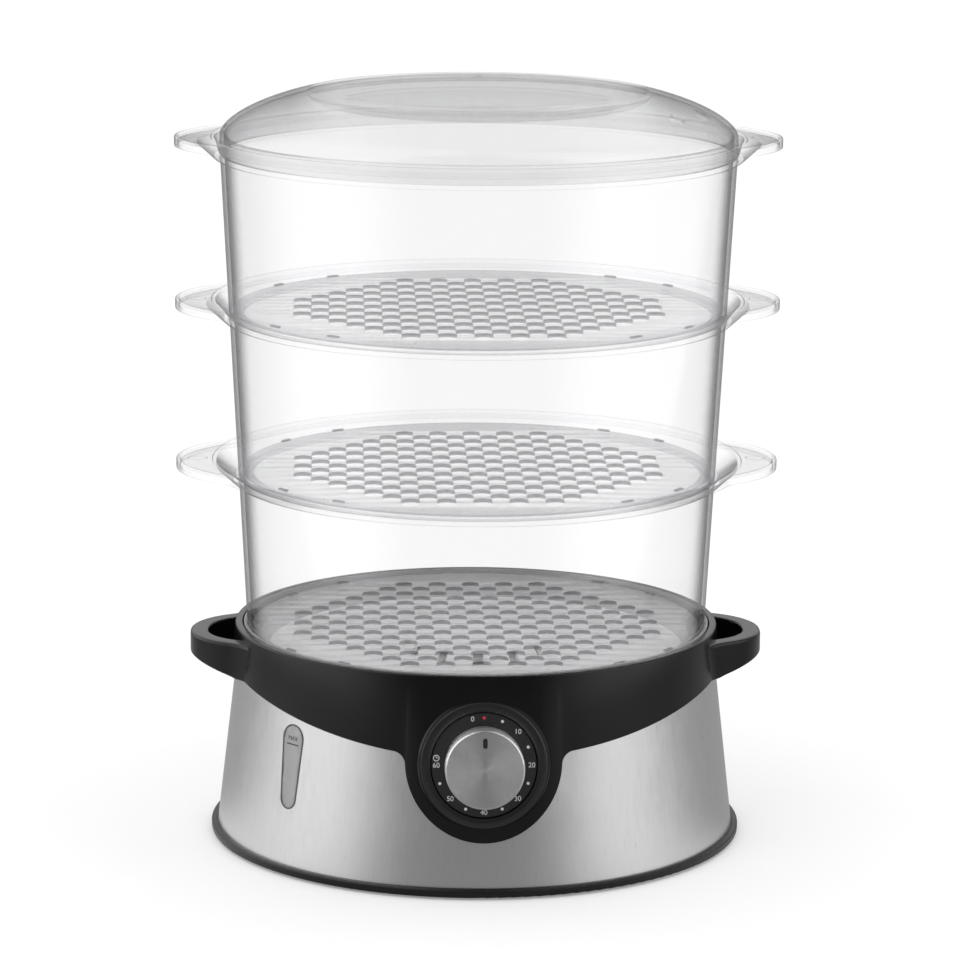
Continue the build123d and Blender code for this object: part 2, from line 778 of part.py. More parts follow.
with BuildPart() as terminal_block:
    with Locations((0, terminal_y, cover_top_z)):
        Box(*terminal_size, align=(Align.CENTER, Align.CENTER, Align.MIN))
    with BuildSketch(Plane.XZ.offset(-terminal_y - terminal_size[1] / 2)):
        with Locations((0, cover_top_z + terminal_size[2] / 2)):
            with GridLocations(terminal_pitch, 1, 3, 1):
                Circle(terminal_hole_r)
    extrude(amount=terminal_size[1], mode=Mode.SUBTRACT)
terminal_block.part.label = "terminal_block"
export_step(terminal_block.part, "parts/terminal_block.step")

# ================================================================ timer
with BuildPart() as timer_case:
    with BuildSketch(dial.offset(timer_front)):
        RectangleRounded(timer_width, timer_height, timer_corner)
    extrude(amount=-timer_depth)
    with BuildSketch(dial.offset(timer_front)):
        Circle(shaft_r + shaft_fit)
        with Locations((-timer_screw_x, 0), (timer_screw_x, 0)):
            Circle(timer_screw_r + snug)
    extrude(amount=-timer_grip - overcut, mode=Mode.SUBTRACT)
timer_case.part.label = "timer_case"
export_step(timer_case.part, "parts/timer_case.step")

with BuildPart() as timer_bell:
    bell = outline(
        [
            (0, timer_back),
            (bell_post_r, timer_back),
            (bell_post_r, timer_back - bell_h + bell_t),
            (bell_r - bell_t, timer_back - bell_h + bell_t),
            (bell_r - bell_t, timer_back - bell_t),
            (bell_r, timer_back - bell_t),
            (bell_r, timer_back - bell_h + bell_t),
            (bell_r - 2 * bell_t, timer_back - bell_h),
            (0, timer_back - bell_h),
        ],
        dial_section,
    )
    revolve(bell, axis=dial_axis)
timer_bell.part.label = "timer_bell"
export_step(timer_bell.part, "parts/timer_bell.step")

with BuildPart() as timer_screws:
    with BuildSketch(dial.offset(plate_back - web_t)):
        with Locations((-timer_screw_x, 0), (timer_screw_x, 0)):
            Circle(timer_screw_r)
    extrude(amount=timer_front - timer_grip - plate_back + web_t)
    with BuildSketch(dial.offset(plate_back - web_t)):
        with Locations((-timer_screw_x, 0), (timer_screw_x, 0)):
            Circle(timer_screw_r)
    extrude(amount=web_t)
timer_screws.part.label = "timer_screws"
export_step(timer_screws.part, "parts/timer_screws.step")

with BuildPart() as dial_plate:
    with BuildSketch(dial.offset(plate_back)):
        Circle(plate_r)
        Circle(web_hole_r, mode=Mode.SUBTRACT)
    extrude(amount=plate_t)
dial_plate.part.label = "dial_plate"
export_step(dial_plate.part, "parts/dial_plate.step")

with BuildPart() as dial_bezel:
    with BuildSketch(dial_section):
        with BuildLine():
            ThreePointArc(
                (plate_r + slip, boss_face + bezel_inner_rise),
                ((plate_r + bezel_r) / 2, 0),
                (bezel_r, boss_face + bezel_outer_rise),
            )
            Polyline(
                (bezel_r, boss_face + bezel_outer_rise),
                (bezel_r, boss_face),
                (plate_r + slip, boss_face),
                (plate_r + slip, boss_face + bezel_inner_rise),
            )
        make_face()
    revolve(axis=dial_axis)
dial_bezel.part.label = "dial_bezel"
export_step(dial_bezel.part, "parts/dial_bezel.step")

# ================================================================ knob
with BuildPart() as timer_shaft:
    with BuildSketch(dial.offset(timer_front - timer_grip)):
        Circle(shaft_r)
    extrude(amount=shaft_tip - timer_front + timer_grip)
    with BuildSketch(dial.offset(shaft_tip - shaft_flat_l)):
        with Locations((0, shaft_flat)):
            Rectangle(4 * shaft_r, 2 * shaft_r, align=(Align.CENTER, Align.MIN))
    extrude(amount=shaft_flat_l, mode=Mode.SUBTRACT)
timer_shaft.part.label = "timer_shaft"
export_step(timer_shaft.part, "parts/timer_shaft.step")

with BuildPart() as knob_cap:
    cap_section = outline(
        [
            (0, knob_top),
            (knob_face_r, knob_top),
            (knob_r, knob_top - knob_bevel),
            (knob_r, knob_foot),
            (knob_r - knob_skin_t, knob_foot),
            (knob_r - knob_skin_t, knob_top - knob_bevel),
            (knob_face_r - knob_skin_t / 2, knob_top - knob_skin_t),
            (0, knob_top - knob_skin_t),
        ],
        dial_section,
    )
    revolve(cap_section, axis=dial_axis)
    with BuildSketch(dial.offset(knob_top)):
        with Locations((0, pointer_r)):
            SlotOverall(pointer_l, pointer_w, rotation=90)
    extrude(amount=-knob_skin_t, mode=Mode.SUBTRACT)
knob_cap.part.label = "knob_cap"
export_step(knob_cap.part, "parts/knob_cap.step")

with BuildPart() as knob_pointer:
    with BuildSketch(dial.offset(knob_top - knob_skin_t)):
        with Locations((0, pointer_r)):
            SlotOverall(pointer_l - 2 * pointer_gap, pointer_w - 2 * pointer_gap, rotation=90)
    extrude(amount=knob_skin_t - pointer_sink)
knob_pointer.part.label = "knob_pointer"
export_step(knob_pointer.part, "parts/knob_pointer.step")

with BuildPart() as knob_core:
    core_r = knob_r - knob_skin_t - snug / 2
    core_top = knob_top - knob_skin_t
    core_section = outline(
        [
            (0, core_top),
            (core_r - core_bevel, core_top),
            (core_r, core_top - core_bevel),
            (core_r, knob_foot),
            (core_r - core_wall, knob_foot),
            (core_r - core_wall, core_top - core_roof),
            (hub_r, core_top - core_roof),
            (hub_r, knob_foot),
            (0, knob_foot),
        ],
        dial_section,
    )
    revolve(core_section, axis=dial_axis)
    with BuildSketch(dial.offset(knob_foot)):
        Circle(shaft_r + shaft_fit)
    extrude(amount=shaft_tip - knob_foot, mode=Mode.SUBTRACT)
knob_core.part.label = "knob_core"
export_step(knob_core.part, "parts/knob_core.step")

# ================================================================ drip tray
with BuildPart() as drip_tray:
    bowl_z = tray_z + tray_t - tray_depth
    revolve(
        outline(
            [
                (tray_r, tray_z),
                (tray_r, tray_z + tray_lip_h),
                (tray_r - tray_t, tray_z + tray_lip_h),
                (tray_r - tray_t, seat_z),
                (tray_bowl_r, seat_z),
                (tray_foot_r, bowl_z),
                (chimney_foot_r, bowl_z),
                (chimney_top_r, bowl_z + chimney_h),
                (0, bowl_z + chimney_h),
                (0, bowl_z + chimney_h - tray_t),
                (chimney_top_r - tray_t, bowl_z + chimney_h - tray_t),
                (chimney_foot_r - tray_t, bowl_z - tray_t),
                (tray_foot_r + tray_t / 2, bowl_z - tray_t),
                (tray_bowl_r + tray_t, tray_z),
            ]
        ),
        axis=Axis.Z,
    )
    with BuildSketch(Plane.XY.offset(bowl_z + chimney_h - tray_t - chimney_slot_h)):
        with PolarLocations(chimney_top_r, chimney_slots):
            Rectangle(3 * overcut, chimney_slot_w)
    extrude(amount=chimney_slot_h, mode=Mode.SUBTRACT)
drip_tray.part.label = "drip_tray"
export_step(drip_tray.part, "parts/drip_tray.step")

# ================================================================ tiers
for tier in range(tier_count):
    name = f"tier_{tier + 1}"
    low_z = seat_z + tier * tier_pitch
    next_z = low_z + tier_pitch
    rim_z = next_z + rim_h
    tier_foot_r = foot_r + tier * tier_step
    top_r = tier_foot_r + tier_pitch * tan(radians(tier_draft))
    flare_r = tier_foot_r + tier_step + slip

    with BuildPart() as tier_wall:
        # the two ears: a thin plate with a turned-down edge
        with BuildSketch(Plane.XY.offset(rim_z)) as ear_plan:
            Circle(rim_r)
            with Locations((ear_nose_r - ear_reach, 0), (ear_reach - ear_nose_r, 0)):
                Circle(ear_nose_r)
            fillet(vertices().group_by(lambda v: round(abs(v.Y)))[-1], radius=ear_blend)
        extrude(amount=-ear_skirt_h)
        with BuildSketch(Plane.XY.offset(rim_z - ear_t)):
            add(ear_plan.sketch.faces()[0].moved(Location((0, 0, -rim_z))))
            offset(amount=-ear_skirt_t, mode=Mode.REPLACE)
        extrude(amount=ear_t - ear_skirt_h - overcut, mode=Mode.SUBTRACT)
        with BuildSketch(Plane.XY.offset(rim_z)):
            with Locations((-ear_mark_x, 0), (ear_mark_x, 0)):
                Circle(ear_mark_r)
        extrude(amount=-ear_mark_depth, mode=Mode.SUBTRACT)
        # the bowl's wall passes through them and clears its own inside
        with BuildSketch(Plane.XY.offset(rim_z)):
            Circle(rim_r - ear_skirt_t / 2 - ear_lap)
        extrude(amount=-rim_h, mode=Mode.SUBTRACT)
        revolve(
            outline(
                [
                    (tier_foot_r, low_z),
                    (top_r, next_z - rim_ledge_t),
                    (flare_r + rim_t, next_z - rim_ledge_t),
                    (rim_r - ear_skirt_t / 2, rim_z - ear_t / 2),
                    (rim_r - ear_skirt_t / 2, rim_z),
                    (rim_r - rim_t, rim_z),
                    (flare_r, next_z),
                    (top_r - tier_t, next_z),
                    (tier_foot_r - tier_t, low_z + foot_lip_t),
                    (tier_foot_r - tier_t - foot_lip_w, low_z + foot_lip_t),
                    (tier_foot_r - tier_t - foot_lip_w, low_z),
                ]
            ),
            axis=Axis.Z,
        )
    tier_wall.part.label = f"{name}_wall"
    export_step(tier_wall.part, f"parts/{name}_wall.step")

    with BuildPart() as tier_floor:
        floor_r = tier_foot_r - tier_t - floor_fit
        with BuildSketch(Plane.XY.offset(low_z + foot_lip_t)):
            Circle(floor_r)
        extrude(amount=floor_t)
        rows = int(hole_field_r / hole_pitch_y)
        columns = int(hole_field_r / hole_pitch_x) + 1
        spots = [
            (hole_pitch_x * (column + (row % 2) / 2), hole_pitch_y * row)
            for row in range(-rows, rows + 1)
            for column in range(-columns, columns + 1)
        ]
        spots = [(x, y) for x, y in spots if sqrt(x * x + y * y) < hole_field_r]
        with BuildSketch(Plane.XY.offset(low_z + foot_lip_t)):
            with Locations(*spots):
                RegularPolygon(hole_across / 2, 6)
        extrude(amount=floor_t, mode=Mode.SUBTRACT)
        with BuildSketch(Plane.XY.offset(low_z + foot_lip_t + floor_t)):
            with PolarLocations(floor_r - tab_size[1], tab_count, start_angle=180 / tab_count):
                Rectangle(tab_size[1], tab_size[0])
        extrude(amount=tab_size[2] - floor_t)
    tier_floor.part.label = f"{name}_floor"
    export_step(tier_floor.part, f"parts/{name}_floor.step")

# ================================================================ lid
def dome(shrink):
    """The lid's half section from the axis out, shrunk inwards by a wall."""
    with BuildSketch(Plane.XZ) as half:
        with BuildLine():
            edge = (lid_r - shrink, lid_z + lid_skirt_h)
            inward = shrink * sin(radians(lid_slope))
            down = shrink * cos(radians(lid_slope))
            knots = [(r - inward, lid_z + z - down) for r, z in lid_knots]
            crown = (0, lid_z + lid_rise - shrink)
            Spline(crown, *knots, edge, tangents=[(1, 0), (0, -1)])
            Polyline(edge, (lid_r - shrink, lid_z), (0, lid_z), crown)
        make_face()
    return half.sketch


def scoop(grow):
    """The finger scoops either side of the grip bar, grown outwards by a wall."""
    floor_z = lid_z + lid_rise - scoop_depth - grow
    with BuildPart() as hollow:
        with BuildSketch(Plane.XZ):
            with BuildLine():
                lip = (scoop_r + grow + scoop_flare, lid_z + lid_knots[0][1] + scoop_flare)
                heel = (scoop_heel_r, floor_z + scoop_heel_rise)
                Spline((0, floor_z), heel, lip, tangents=[(1, 0), (0.5, 1)])
                above = lid_z + lid_rise + overcut
                Polyline(lip, (lip[0], above), (0, above), (0, floor_z))
            make_face()
        revolve(axis=Axis.Z)
        with BuildSketch(Plane.XY.offset(lid_z)):
            Rectangle(4 * scoop_r, 2 * (grip_half - grow))
        extrude(amount=2 * lid_rise, mode=Mode.SUBTRACT)
    return hollow.part


with BuildPart() as lid_space:
    revolve(dome(lid_t), axis=Axis.Z)
    add(scoop(lid_t), mode=Mode.SUBTRACT)

with BuildPart() as lid:
    revolve(dome(0), axis=Axis.Z)
    add(scoop(0), mode=Mode.SUBTRACT)
    add(lid_space.part, mode=Mode.SUBTRACT)
    with BuildSketch(Plane.XY.offset(lid_z + lid_skirt_h)):
        with Locations(*lid_vents):
            Circle(vent_hole_r)
    extrude(amount=lid_rise, mode=Mode.SUBTRACT)
    with BuildSketch(Plane.XY.offset(lid_z + lid_rise - lid_t / 2)):
        Circle(nub_r)
    extrude(amount=lid_t / 2 + nub_h)
lid.part.label = "lid"
export_step(lid.part, "parts/lid.step")
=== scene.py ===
# %% [markdown]
# # A three-tier electric steamer, dressed for a studio picture
#
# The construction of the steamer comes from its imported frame: every part is already at its
# real size and place. This lesson gives each part its surface. Where a part needs finer
# form than the frame holds, such as a moulded rim or a domed lid, it is worked out again
# with numpy and stands in for the frame's part. Where the frame's form is right, the part
# keeps it and only gets its finish. All lengths are metres, +Z is up, and the dial faces -Y.

# %% Load the frame
import json
from math import atan2, cos, degrees, pi, radians, sin, sqrt, tan

import bmesh
import bpy
import numpy as np
from mathutils import Matrix, Vector

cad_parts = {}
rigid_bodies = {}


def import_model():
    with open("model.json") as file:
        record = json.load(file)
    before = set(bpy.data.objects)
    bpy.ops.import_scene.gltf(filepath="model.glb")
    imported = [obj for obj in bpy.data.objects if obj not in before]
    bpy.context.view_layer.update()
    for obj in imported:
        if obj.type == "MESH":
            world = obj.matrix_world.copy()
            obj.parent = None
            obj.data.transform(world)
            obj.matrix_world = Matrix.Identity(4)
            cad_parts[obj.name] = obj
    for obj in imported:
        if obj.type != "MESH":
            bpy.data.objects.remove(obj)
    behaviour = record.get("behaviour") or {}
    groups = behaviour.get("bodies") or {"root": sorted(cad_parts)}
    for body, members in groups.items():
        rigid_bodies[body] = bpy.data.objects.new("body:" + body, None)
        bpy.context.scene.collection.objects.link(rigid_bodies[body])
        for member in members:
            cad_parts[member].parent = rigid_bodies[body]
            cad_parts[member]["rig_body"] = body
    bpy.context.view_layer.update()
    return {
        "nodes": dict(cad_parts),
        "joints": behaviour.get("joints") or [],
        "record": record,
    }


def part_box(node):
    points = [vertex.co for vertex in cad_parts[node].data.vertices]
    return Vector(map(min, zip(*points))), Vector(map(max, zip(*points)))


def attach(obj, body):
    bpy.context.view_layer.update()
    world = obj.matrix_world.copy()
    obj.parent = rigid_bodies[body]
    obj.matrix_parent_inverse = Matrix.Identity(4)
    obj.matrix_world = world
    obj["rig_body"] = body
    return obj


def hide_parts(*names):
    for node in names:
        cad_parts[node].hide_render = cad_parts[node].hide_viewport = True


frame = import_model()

MM = 0.001

# %% [markdown]
# ## Sizes that the pieces share
#
# Most sizes can be read off the frame: a node's box gives its lowest and highest corner,
# and `reach` gives the largest radius of a node's points at a height. Reading them here
# keeps every new surface on the part that it dresses.


# %% Read sizes off the frame
def points_of(node):
    """All the points of one of the frame's nodes, as an array of (x, y, z) rows."""
    mesh = frame["nodes"][node].data
    flat = np.zeros(len(mesh.vertices) * 3)
    mesh.vertices.foreach_get("co", flat)
    return flat.reshape(-1, 3)


def reach(node, height, slack=1e-6):
    """The largest distance from the Z axis of a node's points at a height."""
    points = points_of(node)
    level = points[np.abs(points[:, 2] - height) < slack]
    return float(np.hypot(level[:, 0], level[:, 1]).max())


tier_names = ["tier_1", "tier_2", "tier_3"]
seat = [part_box(f"{name}_wall")[0].z for name in tier_names]
tier_pitch = seat[1] - seat[0]
foot = [reach(f"{name}_wall", z) for name, z in zip(tier_names, seat)]
tier_step = foot[1] - foot[0]
lid_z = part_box("lid")[0].z
lid_r = reach("lid", lid_z)
rim_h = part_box("tier_1_wall")[1].z - seat[1]
print("tier seats, mm:", [round(z / MM, 1) for z in seat], "feet:", [round(r / MM, 2) for r in foot])
print("lid foot, mm:", round(lid_z / MM, 1), "radius:", round(lid_r / MM, 2))
print("rim height, mm:", round(rim_h / MM, 2))

# %% [markdown]
# ## Turning arrays of points into pieces
#
# Every new surface here is a grid: rows and columns of points, worked out as whole arrays.
# `grid_piece` turns such a grid into a mesh. Seams and poles are written twice in the grid
# and merged afterwards, so that UV values can differ on the two sides of a seam. A closed
# surface has a signed volume, and its sign says whether the faces point outwards.


# %% Mesh helpers
def grid_faces(rows, columns):
    """Four corner numbers for each cell of a grid of points, row by row."""
    number = np.arange(rows * columns).reshape(rows, columns)
    corners = [number[:-1, :-1], number[:-1, 1:], number[1:, 1:], number[1:, :-1]]
    return np.stack(corners, axis=-1).reshape(-1, 4)


def signed_volume(mesh):
    """A sixth of the sum of p0 . (p1 x p2) over all triangles: positive when faces look out."""
    mesh.calc_loop_triangles()
    corner = np.zeros(len(mesh.loop_triangles) * 3, dtype=np.int32)
    mesh.loop_triangles.foreach_get("vertices", corner)
    flat = np.zeros(len(mesh.vertices) * 3)
    mesh.vertices.foreach_get("co", flat)
    p = flat.reshape(-1, 3)[corner.reshape(-1, 3)]
    return float(np.einsum("ij,ij->i", p[:, 0], np.cross(p[:, 1], p[:, 2])).sum() / 6)


def tidy_mesh(mesh, merge=2e-6, sharp=35.0, outwards=True):
    """Merges doubled points, drops faces with no area, turns the faces out and smooths."""
    work = bmesh.new()
    work.from_mesh(mesh)
    bmesh.ops.remove_doubles(work, verts=work.verts, dist=merge)
    bmesh.ops.dissolve_degenerate(work, edges=work.edges, dist=merge / 2)
    bmesh.ops.recalc_face_normals(work, faces=work.faces)
    work.to_mesh(mesh)
    if outwards and signed_volume(mesh) < 0:
        bmesh.ops.reverse_faces(work, faces=work.faces)
        work.to_mesh(mesh)
    work.free()
    mesh.polygons.foreach_set("use_smooth", [True] * len(mesh.polygons))
    mesh.set_sharp_from_angle(angle=radians(sharp))
    mesh.update()
    return mesh


def put_in_scene(name, mesh):
    """A new object at the origin that shows the mesh."""
    piece = bpy.data.objects.new(name, mesh)
    bpy.context.scene.collection.objects.link(piece)
    return piece


def grid_piece(name, *grids, uv=None, merge=2e-6, sharp=35.0, outwards=True):
    """One piece from one or more grids of points, each an array (rows, columns, 3)."""
    points, faces, start = [], [], 0
    for grid in grids:
        rows, columns = grid.shape[:2]
        faces.append(grid_faces(rows, columns) + start)
        points.append(grid.reshape(-1, 3))
        start += rows * columns
    mesh = bpy.data.meshes.new(name)
    mesh.from_pydata(np.concatenate(points).tolist(), [], np.concatenate(faces).tolist())
    if uv is not None:
        layer = mesh.uv_layers.new(name="brushing")
        corner = np.zeros(len(mesh.loops), dtype=np.int32)
        mesh.loops.foreach_get("vertex_index", corner)
        layer.data.foreach_set("uv", uv.reshape(-1, 2)[corner].ravel())
    return put_in_scene(name, tidy_mesh(mesh, merge, sharp, outwards))


def face_values(piece, what):
    """The normal or the center of each of the piece's faces, as rows of (x, y, z)."""
    flat = np.zeros(len(piece.data.polygons) * 3)
    piece.data.polygons.foreach_get(what, flat)
    return flat.reshape(-1, 3)


def mesh_of(piece):
    """Takes a piece out of the scene and keeps its mesh."""
    mesh = piece.data
    bpy.data.objects.remove(piece)
    return mesh


def settled(piece, *spent):
    """Makes the piece's modifiers part of its mesh, and removes the helpers they used."""
    bpy.context.view_layer.update()
    graph = bpy.context.evaluated_depsgraph_get()
    mesh = bpy.data.meshes.new_from_object(piece.evaluated_get(graph))
    piece.modifiers.clear()
    piece.data = mesh
    for helper in spent:
        bpy.data.meshes.remove(mesh_of(helper))
    return piece


def carved(piece, tool):
    """Takes a closed tool's volume out of a closed piece with a Boolean, applied at once."""
    cut = piece.modifiers.new("cut", "BOOLEAN")
    cut.operation = "DIFFERENCE"
    cut.solver = "EXACT"
    cut.object = tool
    return settled(piece, tool)


def report(piece):
    """Prints a piece's triangles and size, and gives the piece back."""
    piece.data.calc_loop_triangles()
    size = [round(v / MM, 1) for v in piece.dimensions]
    print(f"{piece.name}: {len(piece.data.loop_triangles)} triangles, {size} mm")
    return piece


# %% [markdown]
# ## Round profiles
#
# Moulded and turned parts have no razor edges. `rounded_loop` takes the corners of a
# section and swaps each corner for a short Bezier curve, for many sections at once.
# `turned` carries a section round an axis, as a lathe does.


# %% Rounded sections and turned surfaces
def rounded_loop(corners, radii, steps=3):
    """Closed sections (n, k, 2 or 3) with each corner c replaced by the quadratic Bezier curve
    (1-t)^2 a + 2t(1-t) c + t^2 b, where a and b lie a radius away from c on its two sides."""
    before = np.roll(corners, 1, axis=1) - corners
    after = np.roll(corners, -1, axis=1) - corners
    limit = 0.45  # of a side's length, so that the curves at its two ends stay apart
    length_a = np.linalg.norm(before, axis=-1, keepdims=True)
    length_b = np.linalg.norm(after, axis=-1, keepdims=True)
    radius = np.asarray(radii, float).reshape(1, -1, 1)
    a = corners + before * np.minimum(radius / np.maximum(length_a, 1e-9), limit)
    b = corners + after * np.minimum(radius / np.maximum(length_b, 1e-9), limit)
    t = np.linspace(0, 1, steps + 1).reshape(1, 1, -1, 1)
    a, b, c = a[:, :, None], b[:, :, None], corners[:, :, None]
    curve = (1 - t) ** 2 * a + 2 * t * (1 - t) * c + t**2 * b
    return curve.reshape(len(corners), -1, corners.shape[-1])


class Axes:
    """A place and three directions: points (x, y, z) in it are origin + x*right + y*up + z*out."""

    def __init__(self, origin, right, out):
        self.origin = Vector(origin)
        self.out = Vector(out).normalized()
        self.right = Vector(right).normalized()
        self.up = self.out.cross(self.right).normalized()

    def matrix(self):
        """The 4x4 matrix that takes a mesh from this place's own axes to the frame's."""
        rows = [(*pair, place) for *pair, place in zip(self.right, self.up, self.out, self.origin)]
        return Matrix((*rows, (0, 0, 0, 1)))

    def place(self, points):
        """An array of points in these axes, taken to the frame's."""
        turn = np.array([self.right, self.up, self.out])
        return points @ turn + np.array(self.origin)


UPRIGHT = Axes((0, 0, 0), (1, 0, 0), (0, 0, 1))


def turned(name, section, axes=UPRIGHT, steps=192, closed=True, **finish):
    """A section of (radius, height) points carried round an axis: x = r cos a, y = r sin a.
    In its UV map, u runs once round the axis and v runs with the radius."""
    section = np.asarray(section, float)
    if closed:
        section = np.vstack([section, section[:1]])
    angle = np.linspace(0, 2 * pi, steps + 1)
    r, z = section[:, 0][:, None], section[:, 1][:, None]
    grid = np.stack([r * np.cos(angle), r * np.sin(angle), z + 0 * angle], axis=-1)
    uv_reach = 100.0  # the radius in mm at which v is 1
    uv = np.stack(np.broadcast_arrays(angle / (2 * pi), r / MM / uv_reach), axis=-1)
    return grid_piece(name, axes.place(grid), uv=uv, **finish)


def rounded_section(corners, radii):
    """One closed section, given in millimetres, with its corners rounded."""
    return rounded_loop(np.asarray([corners], float), radii)[0] * MM


def joined(name, meshes, sharp=50.0):
    """One piece made of several meshes, which may run into each other."""
    work = bmesh.new()
    for mesh in meshes:
        work.from_mesh(mesh)
        bpy.data.meshes.remove(mesh)
    whole = bpy.data.meshes.new(name)
    work.to_mesh(whole)
    work.free()
    whole.set_sharp_from_angle(angle=radians(sharp))
    return put_in_scene(name, whole)


def slab(name, outline, axes, low, high, x=0.0, y=0.0):
    """A flat piece, in mm: each of its two faces is the outline drawn in to its middle (x, y)."""
    closed_line = np.vstack([outline, outline[:1]])
    rows = []
    for share, level in ((0.0, high), (1.0, high), (1.0, low), (0.0, low)):
        heights = np.full(len(closed_line), level)
        rows.append(np.column_stack([closed_line * share + [x, y], heights]))
    return grid_piece(name, axes.place(np.array(rows) * MM))


# %% [markdown]
# ## Copies of the frame's own parts
#
# A part of the frame is a cloud of loose triangles, right for measuring but faceted to
# look at. `dressed` takes a copy, merges its points so that light runs smoothly over the
# curves, and keeps edges sharp where two faces meet at a real angle. A Weighted Normal
# modifier then lets the broad faces decide how light falls on the narrow ones beside them.
# `stand_in` puts a finished piece in the place of the frame's part: it rides on the same
# body and has the same kind of finish.


# %% Dress a part of the frame
def dressed(node, reshape=None, sharp=32.0):
    """A smooth copy of one of the frame's nodes, standing in for it on the same body."""
    mesh = frame["nodes"][node].data.copy()
    if reshape:
        mesh.vertices.foreach_set("co", reshape(points_of(node)).ravel())
    piece = put_in_scene(f"{node}_shell", tidy_mesh(mesh, sharp=sharp))
    evening = piece.modifiers.new("broad faces lead", "WEIGHTED_NORMAL")
    evening.weight = 100
    evening.keep_sharp = True
    return stand_in(piece, node)


def stand_in(piece, *nodes):
    """The piece takes the place, the body and the finish of the frame's nodes."""
    body = frame["nodes"][nodes[0]]["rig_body"]
    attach(piece, body)
    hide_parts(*nodes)
    paint(piece, slot_of[nodes[0]])
    return report(piece)


def second_finish(piece, slot, chosen):
    """Gives the chosen faces (true or false for each) another finish than the piece's own."""
    piece.data.materials.append(finishes[slot])
    index = np.zeros(len(piece.data.polygons), dtype=np.int32)
    piece.data.polygons.foreach_get("material_index", index)
    index[chosen] = len(piece.data.materials) - 1
    piece.data.polygons.foreach_set("material_index", index)


def extra(piece, body):
    """A small piece of its own, such as printing, that rides on a body."""
    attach(piece, body)
    return report(piece)


slot_of = {part["node"]: part["material_slot"] for part in frame["record"]["subparts"]}
print("finishes in use:", sorted(set(slot_of.values())))

# %% [markdown]
# ## Finishes
#
# Each finish is a small tree of shader nodes. Values that are the same all over a surface
# are set on the shader's own sockets. What varies, such as brushing or moulding grain,
# comes from noise on the object's own coordinates, so it stays put when a part moves.


# %% Shader helpers
finishes = {}
noise_low, noise_high = 0.3, 0.7  # nearly all of a noise texture's values lie between these


def paint(piece, slot):
    """Gives the piece the finish that is kept under a slot's name."""
    piece.data.materials.clear()
    piece.data.materials.append(finishes[slot])


def new_finish(slot):
    """An empty material for a slot: returns its tree and its output node."""
    material = bpy.data.materials.new(slot)
    material.use_nodes = True
    tree = material.node_tree
    tree.nodes.clear()
    finishes[slot] = material
    return tree, tree.nodes.new("ShaderNodeOutputMaterial")


def node(tree, kind, **settings):
    """A shader node. Settings that name a socket set its value; the others set properties."""
    made = tree.nodes.new(f"ShaderNode{kind}")
    for key, value in settings.items():
        label = key.replace("_", " ")
        if label in made.inputs:
            made.inputs[label].default_value = value
        else:
            setattr(made, key, value)
    return made


def wire(tree, source, target):
    """Links an output socket to an input socket."""
    tree.links.new(source, target)


def stretched_noise(tree, stretch, scale=1.0, detail=3.0, roughness=0.6):
    """Noise on the object's own coordinates, stretched by three factors."""
    place = node(tree, "TexCoord")
    mapping = node(tree, "Mapping", Scale=stretch)
    noise = node(tree, "TexNoise", Scale=scale, Detail=detail, Roughness=roughness)
    wire(tree, place.outputs["Object"], mapping.inputs["Vector"])
    wire(tree, mapping.outputs["Vector"], noise.inputs["Vector"])
    return noise.outputs["Fac"]


def span_to_span(tree, value, source, target=(0.0, 1.0), smooth=False):
    """Takes a value from one span of numbers to another; a smooth one eases in and out."""
    steps = node(tree, "MapRange", interpolation_type="SMOOTHSTEP" if smooth else "LINEAR")
    for label, number in zip(("From Min", "From Max", "To Min", "To Max"), (*source, *target)):
        steps.inputs[label].default_value = number
    wire(tree, value, steps.inputs["Value"])
    return steps.outputs["Result"]


def spread(tree, noise, low, high):
    """Takes noise to the span from low to high."""
    return span_to_span(tree, noise, (noise_low, noise_high), (low, high))


def two_tones(tree, noise, dark, light):
    """A colour between dark and light, chosen by noise."""
    ramp = node(tree, "ValToRGB")
    for stop, position, colour in zip(ramp.color_ramp.elements, (noise_low, noise_high), (dark, light)):
        stop.position = position
        stop.color = (*colour, 1)
    wire(tree, noise, ramp.inputs["Fac"])
    return ramp.outputs["Color"]


def relief(tree, value, height, strength):
    """A bump of that height in metres, as a normal for a shader."""
    bump = node(tree, "Bump", Distance=height, Strength=strength)
    wire(tree, value, bump.inputs["Height"])
    return bump.outputs["Normal"]


def toned(colour, by):
    """A colour made lighter or darker by a factor."""
    return tuple(min(c * by, 1.0) for c in colour)


# %% [markdown]
# Light and clear plastic also need a little arithmetic on sockets: a sum, a blend of two
# colours or of two shaders, and a place or a direction taken apart into numbers.


# %% Arithmetic on sockets
def arithmetic(tree, operation, first, second=0.0):
    """One step of arithmetic: each argument is a socket or a plain number."""
    step = node(tree, "Math", operation=operation)
    for socket, value in zip(step.inputs, (first, second)):
        if isinstance(value, (int, float)):
            socket.default_value = value
        else:
            wire(tree, value, socket)
    return step.outputs[0]


def blended(tree, share, first, second):
    """A colour between two: share 0 gives the first and share 1 the second. Each is a plain
    colour or a socket. A Mix node keeps its two colours in its sockets 6 and 7."""
    blend = node(tree, "Mix", data_type="RGBA")
    for socket, colour in zip((blend.inputs[6], blend.inputs[7]), (first, second)):
        if isinstance(colour, tuple):
            socket.default_value = (*colour, 1)
        else:
            wire(tree, colour, socket)
    wire(tree, share, blend.inputs[0])
    return blend.outputs[2]


def either(tree, share, first, second):
    """A blend of two shaders: share 0 shows the first and share 1 the second."""
    blend = node(tree, "MixShader")
    wire(tree, share, blend.inputs["Fac"])
    wire(tree, first, blend.inputs[1])
    wire(tree, second, blend.inputs[2])
    return blend.outputs["Shader"]


